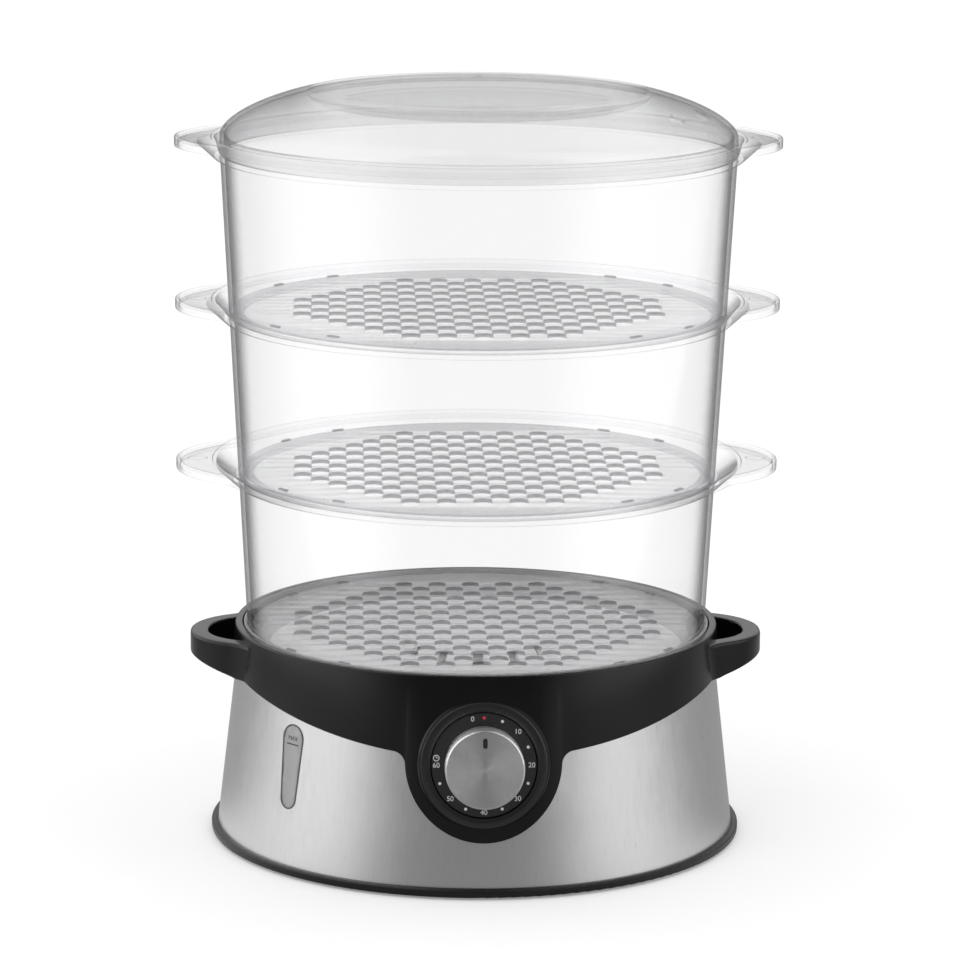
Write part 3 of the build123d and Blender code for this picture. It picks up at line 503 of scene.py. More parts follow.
def taken_apart(tree, coordinates):
    """The X, Y and Z of a texture coordinate, as three sockets under those names."""
    numbers = node(tree, "SeparateXYZ")
    wire(tree, node(tree, "TexCoord").outputs[coordinates], numbers.inputs[0])
    return numbers.outputs


def panel(tree, angle, centre, half, soft, strength):
    """A soft-edged upright panel: full strength within half degrees of its centre, and none
    from soft degrees further out."""
    off = arithmetic(tree, "ABSOLUTE", arithmetic(tree, "SUBTRACT", angle, radians(centre)))
    fade = (radians(half + soft), radians(half))
    return span_to_span(tree, off, fade, (0.0, strength), smooth=True)


# %% [markdown]
# ### Moulded plastic and rubber
#
# Moulded parts carry the fine grain of their tool: a soft bump well under a tenth of a
# millimetre, and a gloss and a colour that are a little uneven. One function makes them
# all. The collar, the dial's ring and the pan under the base are three blacks that differ
# only in how dark and how glossy they are, which is enough to tell them apart.


# %% Moulded finishes
broad_scale = 35.0  # patches of a few centimetres


def moulded(slot, colour, gloss, grain=0.02, scale=900.0, uneven=0.08, **sockets):
    """Opaque plastic or rubber. gloss is the roughness at its middle, grain the bump in mm,
    scale how fine that bump is, and uneven the share by which gloss and colour vary."""
    tree, output = new_finish(slot)
    shader = node(tree, "BsdfPrincipled", **sockets)
    fine = stretched_noise(tree, (1, 1, 1), scale=scale)
    broad = stretched_noise(tree, (1, 1, 1), scale=broad_scale)
    tone = two_tones(tree, broad, toned(colour, 1 - uneven), toned(colour, 1 + uneven))
    polish = spread(tree, broad, gloss * (1 - uneven), gloss * (1 + uneven))
    wire(tree, tone, shader.inputs["Base Color"])
    wire(tree, polish, shader.inputs["Roughness"])
    wire(tree, relief(tree, fine, grain * MM, strength=0.25), shader.inputs["Normal"])
    wire(tree, shader.outputs["BSDF"], output.inputs["Surface"])


moulded("black_gloss", (0.004, 0.004, 0.0043), 0.22, grain=0.006, Specular_IOR_Level=0.22)
moulded("ring_black", (0.013, 0.013, 0.0135), 0.28, grain=0.006, Specular_IOR_Level=0.4)
moulded("black_matte", (0.008, 0.008, 0.0085), 0.38, Specular_IOR_Level=0.25)
moulded("dark_plastic", (0.03, 0.03, 0.03), 0.5)
moulded("tank_black", (0.02, 0.02, 0.021), 0.45)
moulded("dial_face", (0.014, 0.014, 0.015), 0.38, grain=0.01)
moulded("pointer_black", (0.008, 0.008, 0.008), 0.55)
moulded("rubber_black", (0.022, 0.022, 0.022), 0.8, grain=0.05, scale=500.0)
moulded("silicone", (0.62, 0.61, 0.57), 0.5, grain=0.03)
moulded("nylon_white", (0.72, 0.71, 0.67), 0.45)
print("moulded finishes:", sorted(finishes))

# %% [markdown]
# ### Metals
#
# Brushed steel is drawn in one direction. On the sleeve the strokes run up and down, so
# the noise is squeezed tightly across the strokes and drawn out along Z, and it moves the
# colour, the gloss and the bump together. Turned and plated parts get a finer, even noise.


# %% Metal finishes
def brushed(slot, colour, gloss, stretch, depth=0.008, contrast=0.06, uneven=0.15):
    """Metal with strokes along the direction of the smallest stretch. depth is the bump in mm,
    and contrast and uneven are the shares by which colour and gloss vary."""
    tree, output = new_finish(slot)
    shader = node(tree, "BsdfPrincipled", Metallic=1.0)
    strokes = stretched_noise(tree, stretch, detail=4.0, roughness=0.7)
    tone = two_tones(tree, strokes, toned(colour, 1 - contrast), toned(colour, 1 + contrast))
    wire(tree, tone, shader.inputs["Base Color"])
    polish = spread(tree, strokes, gloss * (1 - uneven), gloss * (1 + uneven))
    wire(tree, polish, shader.inputs["Roughness"])
    wire(tree, relief(tree, strokes, depth * MM, strength=0.3), shader.inputs["Normal"])
    wire(tree, shader.outputs["BSDF"], output.inputs["Surface"])
    return tree, shader


brushed("brushed_steel_skin", (0.60, 0.60, 0.605), 0.32, (900, 900, 10), depth=0.002, contrast=0.03)
brushed("cast_aluminium", (0.62, 0.62, 0.61), 0.5, (700, 700, 700), depth=0.03)
brushed("tube_steel", (0.36, 0.33, 0.31), 0.4, (300, 300, 300), contrast=0.15)
brushed("zinc_steel", (0.58, 0.59, 0.60), 0.38, (500, 500, 500), contrast=0.1)
brushed("bell_steel", (0.70, 0.70, 0.69), 0.2, (600, 600, 600))

# %% [markdown]
# The knob's cap is turned on a lathe. Its face shows fans of light because the strokes run
# round the axis and stretch each highlight across them. An anisotropic shader does that
# when its tangent follows the strokes, so the cap's UV map runs once round the knob.

# %% Turned knob metal
knob_silver = (0.62, 0.62, 0.625)
knob_tree, knob_shader = brushed("knob_metal", knob_silver, 0.34, (500, 500, 500), contrast=0.04)
knob_shader.inputs["Anisotropic"].default_value = 0.9
knob_shader.inputs["Anisotropic Rotation"].default_value = 0.25
knob_tangent = node(knob_tree, "Tangent", direction_type="UV_MAP", uv_map="brushing")
wire(knob_tree, knob_tangent.outputs["Tangent"], knob_shader.inputs["Tangent"])
print("metal finishes:", [name for name in finishes if "steel" in name or "metal" in name])

# %% [markdown]
# ### Clear plastic
#
# The tiers and the lid are thin walls of clear plastic. Bending light through them with a
# refraction shader needs many bounces and mostly shows noise, and thin walls hardly bend
# it. So each wall lets light straight through, a little tinted, and mirrors the room by
# Schlick's rule, F = F0 + (F1 - F0)(1 - cos a)^5: hardly at all face on, most at a glancing
# angle. The tint is deeper where a wall is seen edge on. Part of that is real, as light has
# further to go through it there. The rest is painted shade: a dark edge that stands in for
# the light a real wall bends and mirrors at its edges. A touch of haze makes the plastic
# visible against a white wall.


# %% How a clear finish is made
haze_scale, haze_uneven, clear_grain = 60.0, 0.06, 0.02


def side_on(tree):
    """0 where a surface is seen face on, growing to 1 where it is seen edge on."""
    return node(tree, "LayerWeight", Blend=0.5).outputs["Facing"]


def schlick(tree, face_on, edge_on):
    """How much of the light a clear surface mirrors: F0 + (F1 - F0)(1 - cos a)^5."""
    fifth = arithmetic(tree, "POWER", side_on(tree), 5.0)
    return span_to_span(tree, fifth, (0.0, 1.0), (face_on, edge_on))


def clear(slot, tint, edge, span, haze, mirror=(0.02, 0.6), gloss=0.06, one_sided=False, middle=None):
    """See-through plastic. tint colours what shows through it face on and edge what shows
    through it edge on, span says between which glances, and haze is the share it scatters.
    mirror is the share it mirrors face on and edge on, with a roughness of gloss.
    A one-sided surface is only seen from the air, and not from within the plastic. middle is
    another edge colour, for the stretch across the Z axis: (colour, near |x|, far |x|)."""
    tree, output = new_finish(slot)
    # painted shade: the middle stretch gets a lighter edge colour of its own, so the sides beyond it
    # darken more
    if middle:
        middle_edge, near, far = middle
        aside = arithmetic(tree, "ABSOLUTE", taken_apart(tree, "Object")["X"])
        outward = span_to_span(tree, aside, (near * MM, far * MM), smooth=True)
        edge = blended(tree, outward, middle_edge, edge)
    # painted shade: what shows through darkens from tint to edge as the wall turns edge on
    tone = blended(tree, span_to_span(tree, side_on(tree), span, smooth=True), tint, edge)
    through = node(tree, "BsdfTransparent")
    wire(tree, tone, through.inputs["Color"])
    milk = node(tree, "BsdfDiffuse", Color=(0.95, 0.95, 0.95, 1))
    grain = stretched_noise(tree, (1, 1, 1), scale=haze_scale)
    uneven_haze = spread(tree, grain, haze * (1 - haze_uneven), haze * (1 + haze_uneven))
    body = either(tree, uneven_haze, through.outputs["BSDF"], milk.outputs["BSDF"])
    gleam = node(tree, "BsdfAnisotropic", Roughness=gloss, Color=(1, 1, 1, 1))
    wire(tree, relief(tree, grain, clear_grain * MM, strength=0.2), gleam.inputs["Normal"])
    skin = either(tree, schlick(tree, *mirror), body, gleam.outputs["BSDF"])
    if one_sided:
        from_within = node(tree, "NewGeometry").outputs["Backfacing"]
        unseen = node(tree, "BsdfTransparent", Color=(1, 1, 1, 1))
        skin = either(tree, from_within, skin, unseen.outputs["BSDF"])
    wire(tree, skin, output.inputs["Surface"])


def grey(level, blue=0.0):
    """A grey of that level, with a touch more blue."""
    return (level, level, level + blue)


dull = (0.02, 0.3)  # mirrors less at a glancing angle than an outer wall does

# %% [markdown]
# A tier's wall is nearly clear face on and dark at its edges, which is painted shade. Its
# level rims are painted a little greyer than its upright walls: painted shade for the light
# that a flat flange mirrors and bends when it is seen at a glance. A floor scatters more
# light. The walls of its holes are painted dark, as painted shade for the dark ovals that one
# sees of them, and they are one-sided: each shows where it faces the eye across the open
# hole, and not a second time through the plate.

# %% Clear finishes of the tiers
# the edge colour of each clear finish is partly painted shade
clear("clear_shell", grey(0.985, 0.002), grey(0.42, 0.01), (0.66, 0.97), haze=0.012)
# painted shade: a greyer tint for the level faces of the tiers
clear("clear_flat", grey(0.945, 0.002), grey(0.84, 0.01), (0.6, 1.0), haze=0.03)
clear("clear_floor", grey(0.985, 0.002), grey(0.95, 0.005), (0.6, 1.0), haze=0.22, mirror=dull)
# painted shade: the dark tint of hole walls stands in for the light a hole's wall bends and mirrors
hole_shade_tones = (grey(0.42, 0.01), grey(0.36, 0.01))
clear("hole_wall", *hole_shade_tones, (0.5, 1.0), haze=0.03, mirror=(0.02, 0.2), one_sided=True)

# %% [markdown]
# The lid is greyer than the tiers. Its dome darkens towards its edge, which is painted
# shade, and less in the stretch across the middle, which `middle` gives an edge colour of its
# own, so the shoulders on either side are painted darker than the middle. The finger scoops
# have three finishes: an even grey for the floor, and a clearer one for the steep sides, so
# that two layers of wall do not add up to a dark band and show a bright band instead, which
# is painted light. The heel, where floor and side meet, gets a darker one: a painted line of shade.

# %% Clear finishes of the lid
# painted shade: the lid's shoulders are tinted darker than the stretch across its middle
lid_middle_shade = (grey(0.905, 0.002), 64.0, 92.0)
lid_tones = (grey(0.92, 0.002), grey(0.64, 0.005))
clear("lid_smoke", *lid_tones, (0.45, 1.0), haze=0.03, mirror=(0.02, 0.4), middle=lid_middle_shade)
clear("lid_scoop", grey(0.922, 0.002), grey(0.918, 0.002), (0.6, 1.0), haze=0.03, mirror=dull)
# painted light: the scoop's steep sides get a clearer, brighter tint
clear("lid_side", grey(0.99), grey(0.975, 0.002), (0.6, 1.0), haze=0.02, mirror=dull)
# painted shade: a darker tint on the heel draws a dark line
clear("lid_heel", grey(0.9, 0.002), grey(0.88, 0.002), (0.5, 1.0), haze=0.02, mirror=dull)

# %% [markdown]
# The drip tray is frosted: nearly all of its look is scattered light. Its lip, which stands
# between the black collar and the first tier, is a separate, darker finish. The gauge's
# window is smoky. Light may pass through 32 clear surfaces, since a line of sight crosses
# two faces of each wall and floor.

# %% Clear finishes of the tray and the gauge
clear("frosted_tray", grey(0.9), grey(0.85), (0.5, 1.0), haze=0.85, mirror=dull, gloss=0.25)
clear("tray_lip", grey(0.6, 0.005), grey(0.5, 0.005), (0.5, 1.0), haze=0.3, mirror=dull, gloss=0.2)
clear("gauge_smoke", grey(0.5, 0.01), grey(0.4, 0.01), (0.5, 1.0), haze=0.36, gloss=0.12)
bpy.context.scene.cycles.transparent_max_bounces = 32
print("finishes in all:", len(finishes), "missing:", sorted(set(slot_of.values()) - set(finishes)))

# %% [markdown]
# ## The camera and the studio
#
# A product picture is taken from some way off with a long lens, because that keeps upright
# walls nearly upright. So the camera stands two metres in front, a little above the lid,
# and looks down by eleven degrees. Its turn is built from three plain turns: round Z to
# face the steamer, down by the pitch, and a small roll.

# %% Camera
camera_distance = 2.0
camera_azimuth = radians(2.0)
camera_height = 0.5736
camera_pitch = radians(11.37)
camera_aside = radians(0.0445)
camera_roll = radians(0.39)
camera_data = bpy.data.cameras.new("camera")
camera_data.lens = 159.19
camera_data.sensor_width = 36.0
camera = bpy.data.objects.new("camera", camera_data)
bpy.context.scene.collection.objects.link(camera)
camera_x = -camera_distance * sin(camera_azimuth)
camera_y = -camera_distance * cos(camera_azimuth)
camera.location = (camera_x, camera_y, camera_height)
heading = Matrix.Rotation(-camera_azimuth - camera_aside, 4, "Z")
look = heading @ Matrix.Rotation(pi / 2 - camera_pitch, 4, "X") @ Matrix.Rotation(camera_roll, 4, "Z")
camera.rotation_euler = look.to_euler()
bpy.context.scene.camera = camera
print("camera at, m:", [round(v, 4) for v in camera.location])

# %% [markdown]
# ### The ground
#
# The steamer stands on a pale floor that runs to the horizon. In a studio, the floor that
# the camera sees and the floor that shows in shiny metal can be lit apart, with cards and
# flags. Here the shader does it: a Light Path node tells by which kind of ray the floor is
# seen. The camera, also through clear plastic, sees a matt floor with a little light of its
# own, which keeps it near white. Metal mirrors another floor: darker in front, with two
# soft bright patches to the sides that carry the studio's panels down to the foot. Their
# direction from the steamer is atan2(x, -y) on the floor's own coordinates.

# %% Ground
ground_half = 15.0
ground_x, ground_y = np.meshgrid([-ground_half, ground_half], [-ground_half, ground_half])
ground_points = np.stack([ground_x, ground_y, 0 * ground_x], axis=-1)
ground = grid_piece("floor", ground_points, outwards=False)
print("ground:", len(ground.data.polygons), "face,", 2 * ground_half, "m wide")


# %% Ground seen by the camera
def shining(tree, strength=1.0, colour=(1, 1, 1, 1)):
    """A surface that gives light of its own, of a strength that is a number or a socket."""
    light = node(tree, "Emission", Color=colour)
    if isinstance(strength, (int, float)):
        light.inputs["Strength"].default_value = strength
    else:
        wire(tree, strength, light.inputs["Strength"])
    return light.outputs["Emission"]


def seen_white(tree):
    """1 for rays from the camera and for those that went on through clear plastic, else 0."""
    ray = node(tree, "LightPath").outputs
    return arithmetic(tree, "MAXIMUM", ray["Is Camera Ray"], ray["Is Transmission Ray"])


ground_tree, ground_output = new_finish("floor")
ground_paint = node(ground_tree, "BsdfDiffuse", Color=(0.8, 0.8, 0.8, 1))
ground_glow = 0.23
unlit = shining(ground_tree, 0.0, (0, 0, 0, 1))
own_light = either(ground_tree, seen_white(ground_tree), unlit, shining(ground_tree, ground_glow))
matt_ground = node(ground_tree, "AddShader")
wire(ground_tree, ground_paint.outputs["BSDF"], matt_ground.inputs[0])
wire(ground_tree, own_light, matt_ground.inputs[1])
print("the camera's floor glows with", ground_glow)

# %% Ground seen in metal
mirrored_ground = 0.42
ground_patches = ((-73, 9, 38, 0.5), (58, 5, 34, 0.4))  # degrees: centre, half, fade; then strength
spot = taken_apart(ground_tree, "Object")
towards_front = arithmetic(ground_tree, "MULTIPLY", spot["Y"], -1.0)
ground_turn = arithmetic(ground_tree, "ARCTAN2", spot["X"], towards_front)
ground_light = mirrored_ground
for patch in ground_patches:
    ground_light = arithmetic(ground_tree, "ADD", ground_light, panel(ground_tree, ground_turn, *patch))
in_metal = shining(ground_tree, ground_light)
by_metal = node(ground_tree, "LightPath").outputs["Is Glossy Ray"]
ground_finish = either(ground_tree, by_metal, matt_ground.outputs["Shader"], in_metal)
wire(ground_tree, ground_finish, ground_output.inputs["Surface"])
paint(ground, "floor")
print("patches of light on the mirrored floor:", len(ground_patches))

# %% [markdown]
# ### The studio round it
#
# The world has three faces, again told apart by the kind of ray. The camera, also through
# clear plastic, sees plain white. Metal and glossy plastic mirror a dark room with a bright
# panel on each side, so that round metal shows soft upright bands, and a pale backdrop
# behind the steamer that starts a little above the ground. Everything else gets even white
# light, and two area lamps from above add the rest. A direction's angle round Z is
# atan2(x, -y), so 0 is towards the camera and 180 is behind the steamer.

# %% Studio panels
world = bpy.data.worlds.new("studio")
bpy.context.scene.world = world
world.use_nodes = True
sky = world.node_tree
sky.nodes.clear()
dark_room = 0.13
studio_panels = ((-92, 20, 42, 2.1), (74, 10, 40, 1.9))  # degrees: centre, half, fade; then strength
backdrop = (180, 30, 40, 0.85)
backdrop_foot = (0.08, 0.18)  # the rise, for each metre of distance, over which it fades in
direction = taken_apart(sky, "Generated")
towards_camera = arithmetic(sky, "MULTIPLY", direction["Y"], -1.0)
angle_round = arithmetic(sky, "ARCTAN2", direction["X"], towards_camera)
room = dark_room
for side_panel in studio_panels:
    room = arithmetic(sky, "ADD", room, panel(sky, angle_round, *side_panel))
behind = panel(sky, arithmetic(sky, "ABSOLUTE", angle_round), *backdrop)
above_ground = span_to_span(sky, direction["Z"], backdrop_foot, smooth=True)
mirrored = arithmetic(sky, "ADD", room, arithmetic(sky, "MULTIPLY", behind, above_ground))
print("panels that metal mirrors:", len(studio_panels), "and a backdrop")

# %% World light by kind of ray
even_light = 1.0
by_gloss = node(sky, "LightPath").outputs["Is Glossy Ray"]
not_by_gloss = arithmetic(sky, "SUBTRACT", 1.0, by_gloss)
glossy_part = arithmetic(sky, "MULTIPLY", by_gloss, mirrored)
even_part = arithmetic(sky, "MULTIPLY", not_by_gloss, even_light)
lit = arithmetic(sky, "ADD", glossy_part, even_part)
background = node(sky, "Background", Color=(1, 1, 1, 1))
wire(sky, arithmetic(sky, "MAXIMUM", lit, seen_white(sky)), background.inputs["Strength"])
wire(sky, background.outputs["Background"], node(sky, "OutputWorld").inputs["Surface"])
print("world light off metal:", even_light)


# %% Lamps
def soft_lamp(name, place, target, size, watts):
    """A square area lamp at a place, turned to a target."""
    light = bpy.data.lights.new(name, "AREA")
    light.size = size
    light.energy = watts
    lamp = bpy.data.objects.new(name, light)
    bpy.context.scene.collection.objects.link(lamp)
    lamp.location = place
    lamp.rotation_euler = (Vector(place) - Vector(target)).to_track_quat("Z", "Y").to_euler()
    print(f"{name} lamp: {watts} W, {size} m wide")


mid_height = (0, 0, 0.18)
soft_lamp("key", (-1.5, -1.6, 2.2), mid_height, 1.6, 7.0)
soft_lamp("fill", (1.9, -1.0, 1.5), mid_height, 1.4, 3.0)
bpy.context.scene.view_settings.view_transform = "Standard"

# %% [markdown]
# ## The base
#
# On the real steamer the base is a pan of black plastic with a sleeve of thin steel round
# it. Both are nearly true in the frame, so they are dressed copies. Only the black ring at
# the foot is finer than the frame's: its points are pressed down to a lower crest, and the
# sleeve's foot is carried down after it on its own slope. Moving the points of a copy by a
# formula keeps everything else on it as it is. The larger parts inside are dressed copies
# too.

# %% Foot ring and sleeve
skin_lean = 6.6
skin_foot_r, skin_foot_z = 124.7, 6.5
ring_crest, ring_bore = 5.0, 119.5
sleeve_drop, foot_band = 2.4, 0.1


def pressed_ring(points):
    """The cover with its ring scaled in height: z' = z0 + (z - z0) (crest' - z0) / (crest - z0)."""
    x, y, z = points.T
    in_ring = np.hypot(x, y) > ring_bore * MM
    lowest, crest = z[in_ring].min(), z[in_ring].max()
    print("foot ring's crest, mm:", round(crest / MM, 2), "pressed to", ring_crest)
    pressed = lowest + (z - lowest) * (ring_crest * MM - lowest) / (crest - lowest)
    return np.stack([x, y, np.where(in_ring, pressed, z)], axis=1)


def longer_sleeve(points):
    """The sleeve with its foot moved down its slope: dr = dz tan(lean)."""
    x, y, z = points.T
    at_foot = z < (skin_foot_z + foot_band) * MM
    grow = 1 + at_foot * sleeve_drop * MM * tan(radians(skin_lean)) / np.hypot(x, y)
    return np.stack([x * grow, y * grow, z - at_foot * sleeve_drop * MM], axis=1)


# %% Dress the base
dressed("steel_skin", reshape=longer_sleeve)
dressed("bottom_cover", reshape=pressed_ring)
dressed("gauge_window")
for inner_node in ("water_tank", "steam_ring", "heater_plate", "rubber_ring", "cord_gland"):
    dressed(inner_node)

# %% [markdown]
# ### The collar's apron
#
# The apron is a leaning wall whose lower edge is one long sweep, broken at the front by
# the round lobe of the dial. A Boolean could cut that edge, but it leaves long, thin faces
# that show under a gloss. Here the edge is a line of points instead, each at its own angle
# round the Z axis. The wall is a grid with a column for each point of the edge, closer
# together where it is steep, and each column is a small rounded section from the edge up
# to the rim and down the inside to the ledge that carries the tank.

# %% Apron sizes
collar_proud, collar_t = 2.5, 2.2
collar_top, collar_bore = 103.0, 112.6
tank_ledge_z, tank_ledge_t, tank_ledge_bore = 93.0, 2.5, 107.0
side_edge_z, front_edge_z = 84.0, 65.5
sweep_points = [(44.0, 67.4), (83.0, 74.0), (104.0, 79.6)]
edge_knots = np.array([(0.0, front_edge_z), *sweep_points, (117.6, side_edge_z)])
dial_z, lobe_r, lobe_blend = 62.6, 36.2, 6.0
lobe_corner_x = 42.0


def apron_r(z):
    """Outside radius of the apron at height z, in mm."""
    return skin_foot_r + collar_proud - (z - skin_foot_z) * tan(radians(skin_lean))


def sweep_height(x):
    """The long sweep: a smooth curve through the knots, flat where it starts and cubic between."""
    knots, heights = edge_knots.T
    slope = np.gradient(heights, knots)
    slope[0] = 0.0
    cell = np.clip(np.searchsorted(knots, x, side="right") - 1, 0, len(knots) - 2)
    width = knots[cell + 1] - knots[cell]
    t = np.clip((x - knots[cell]) / width, 0, 1)
    rise = heights[cell + 1] - heights[cell]
    start, end = slope[cell] * width, slope[cell + 1] * width
    square, cube = 3 * rise - 2 * start - end, start + end - 2 * rise
    return heights[cell] + start * t + square * t**2 + cube * t**3


def arc_points(centre, radius, angles):
    """Points of an arc, centre + radius (cos a, sin a)."""
    return centre + radius * np.stack([np.cos(angles), np.sin(angles)], axis=1)


def front_edge(lobe_steps=90, fillet_steps=20, sweep_steps=80):
    """Points (x, z) of the lower edge from the dial's foot round to the side: the lobe's arc,
    the fillet that leaves it, and the sweep."""
    blend_drop = sweep_height(lobe_corner_x) - lobe_blend - dial_z
    blend_x = sqrt((lobe_r + lobe_blend) ** 2 - blend_drop**2)
    blend_z = sweep_height(blend_x) - lobe_blend
    touch = atan2(blend_z - dial_z, blend_x)
    lobe = arc_points([0.0, dial_z], lobe_r, np.linspace(-pi / 2, touch, lobe_steps))
    turn_in = np.linspace(pi + touch, pi / 2, fillet_steps)[1:]
    fillet = arc_points([blend_x, blend_z], lobe_blend, turn_in)
    x = np.linspace(blend_x, edge_knots[-1, 0], sweep_steps)[1:]
    return np.vstack([lobe, fillet, np.stack([x, sweep_height(x)], axis=1)])


# %% [markdown]
# From the side round to the back, the edge is level. The whole edge is one half and its
# mirror image, so that the collar is the same on both sides.

# %% Apron surface
apron_rounding = [0.4, 0.9, 0.5, 0.3, 0.3, 0.3, 0.3, 0.3]
back_steps = 90
edge = front_edge()
edge_turn = np.arcsin(np.clip(edge[:, 0] / apron_r(edge[:, 1]), -1, 1))
front_turn = np.maximum.accumulate(edge_turn)
back_turn = np.linspace(front_turn[-1], pi, back_steps)[1:]
half_turn = np.concatenate([front_turn, back_turn])
half_low = np.concatenate([edge[:, 1], np.full(len(back_turn), side_edge_z)])
apron_turn = np.concatenate([-half_turn[:0:-1], half_turn])[:, None]
apron_low = np.concatenate([half_low[:0:-1], half_low])
under_ledge = tank_ledge_z - tank_ledge_t
apron_corners = [
    (apron_r(apron_low), apron_low),
    (apron_r(collar_top), collar_top),
    (collar_bore, collar_top),
    (collar_bore, tank_ledge_z),
    (tank_ledge_bore, tank_ledge_z),
    (tank_ledge_bore, under_ledge),
    (apron_r(under_ledge) - collar_t, under_ledge),
    (apron_r(apron_low) - collar_t, apron_low),
]


def sections(corners, along):
    """Sections (n, k, 2) from k corners, each a pair of numbers or of arrays as long as along."""
    even = np.ones_like(along)
    return np.stack([np.stack([u * even, v * even], axis=-1) for u, v in corners], axis=1)


def closed_curve(grid):
    """The grid with its first column repeated at its end, so that its curves close."""
    return np.concatenate([grid, grid[:, :1]], axis=1)


apron_loops = closed_curve(rounded_loop(sections(apron_corners, apron_low), apron_rounding, steps=4))
apron_radius, apron_height = apron_loops[..., 0], apron_loops[..., 1]
apron_points = [apron_radius * np.sin(apron_turn), -apron_radius * np.cos(apron_turn), apron_height]
whole_apron = grid_piece("apron", np.stack(apron_points, axis=-1) * MM, merge=1e-6, sharp=50.0)
print("apron:", len(apron_low), "sections of", apron_loops.shape[1] - 1, "points")

# %% [markdown]
# ### The loop handles
#
# Two loops stand out of the collar to carry the steamer by, and are moulded in one with
# it. Seen from above, a handle is a band between two outlines: wide fillets out of the
# apron, short straight arms, two large round corners and a blunt tip. The apron leans, so
# the outside is worked out twice, for the underside and for the top. Points of the
# outlines are paired, each pair becomes an upright section, and the sections are joined
# into a closed tube that ends inside the apron's wall. So the handle needs no Boolean to
# join it to the collar: the two meshes run into each other where nobody sees it.

# %% Handle outlines
handle_reach, handle_top = 137.75, 98.5
handle_root_x, handle_root_half, handle_tip_half = 108.0, 37.8, 20.5
handle_band, handle_nose, handle_fillet = 8.8, 0.927, 25.0
handle_low, handle_tip_low = 81.5, 88.0
handle_grip_r = 114.5
arm_steps, fillet_steps, nose_steps = 5, 21, 41
arm_turn = atan2(handle_reach - handle_root_x, handle_root_half - handle_tip_half)
nose = handle_nose * handle_tip_half / tan(arm_turn / 2)
nose_centre = np.array([handle_reach - nose, handle_nose * handle_tip_half - handle_tip_half])
arm_way = np.array([sin(arm_turn), cos(arm_turn)])
arm_side = np.array([cos(arm_turn), -sin(arm_turn)])
nose_turn = np.linspace(-arm_turn, 0, nose_steps)


def both_arms(arm):
    """The line of the -Y arm, a few points across the blunt tip, and the mirrored +Y arm."""
    tip = np.linspace(arm[-1], arm[-1] * [1, -1], arm_steps)[1:-1]
    return np.vstack([arm, tip, arm[::-1] * [1, -1]])


def outer_outline(wall_r):
    """The loop's outside: a fillet that leaves the apron's circle of radius wall_r and touches
    the arm's line, the rest of the arm, and the round corner."""
    corner = arc_points(nose_centre, nose, nose_turn)
    off = corner[0] + handle_fillet * arm_side
    back = -(off @ arm_way) + sqrt((off @ arm_way) ** 2 - off @ off + (wall_r + handle_fillet) ** 2)
    centre = off + back * arm_way
    leave, touch = atan2(-centre[1], -centre[0]), atan2(-arm_side[1], -arm_side[0])
    fillet = arc_points(centre, handle_fillet, np.linspace(leave, touch, fillet_steps))
    arm = np.linspace(fillet[-1], corner[0], arm_steps)[1:-1]
    return both_arms(np.vstack([fillet, arm, corner]))


def inner_outline(first_angle):
    """The loop's inside: along a circle inside the apron's wall, then the arm and the corner."""
    corner = arc_points(nose_centre, nose - handle_band, nose_turn)
    run = corner[0] @ arm_way
    back = run - sqrt(run**2 - corner[0] @ corner[0] + handle_grip_r**2)
    root = corner[0] - back * arm_way
    inside_turn = np.linspace(first_angle, atan2(root[1], root[0]), fillet_steps)
    inside = arc_points(np.zeros(2), handle_grip_r, inside_turn)
    arm = np.linspace(root, corner[0], arm_steps)[1:-1]
    return both_arms(np.vstack([inside, arm, corner]))


# %% Handle surfaces
under_skin = 0.12
handle_rounding = [1.2, 1.6, 1.2, 0.8]
low_line = outer_outline(apron_r(handle_low) - under_skin)
top_line = outer_outline(apron_r(handle_top) - under_skin)
inner_line = inner_outline(atan2(top_line[0, 1], top_line[0, 0]))
handle_slope = (handle_tip_low - handle_low) / (handle_reach - apron_r(handle_low) + collar_proud)
underside = handle_low + np.maximum(low_line[:, 0] - apron_r(handle_low) + collar_proud, 0) * handle_slope
level_top = np.full(len(top_line), handle_top)
handle_corners = [
    (low_line, underside),
    (top_line, level_top),
    (inner_line, level_top),
    (inner_line, underside),
]
handle_section = np.stack([np.column_stack(pair) for pair in handle_corners], axis=1)


def capped(rows):
    """Rows of points along a tube, with each end closed by a row of points at its middle."""
    ends = rows.mean(axis=1, keepdims=True)[[0, -1]] + 0 * rows[[0, -1]]
    return np.concatenate([ends[:1], rows, ends[1:]])


handle_grid = capped(closed_curve(rounded_loop(handle_section, handle_rounding, steps=5)) * MM)
right = grid_piece("handle_right", handle_grid, sharp=50.0)
left = grid_piece("handle_left", handle_grid[:, ::-1] * [-1, 1, 1], sharp=50.0)
print("handle:", len(handle_grid), "rows, thickness at the tip, mm:", handle_top - handle_tip_low)

# %% [markdown]
# ## The dial
#
# The dial is a black disc with numbers, in a raised ring, with a metal knob that turns the
# timer's shaft. The timer's joint says where that axis is and how it leans. In those axes
# the ring, the plate and the knob are plain turned sections: each row of a list below is a
# corner (radius, height), in millimetres.

# %% Dial axes and sizes
timer = next(joint for joint in frame["joints"] if joint["name"] == "timer_turn")
dial_axes = Axes(timer["pos_m"], (1, 0, 0), -Vector(timer["axis"]))
bezel_inner, bezel_outer, bezel_foot = 24.6, 29.2, -1.2
plate_edge, plate_front, plate_back = 24.3, -1.7, -3.0
knob_side, knob_face, knob_top, knob_foot = 18.25, 17.25, 14.4, -0.9
print("dial axis leans", round(90 - degrees(dial_axes.out.angle(Vector((0, 0, 1)))), 2), "degrees")

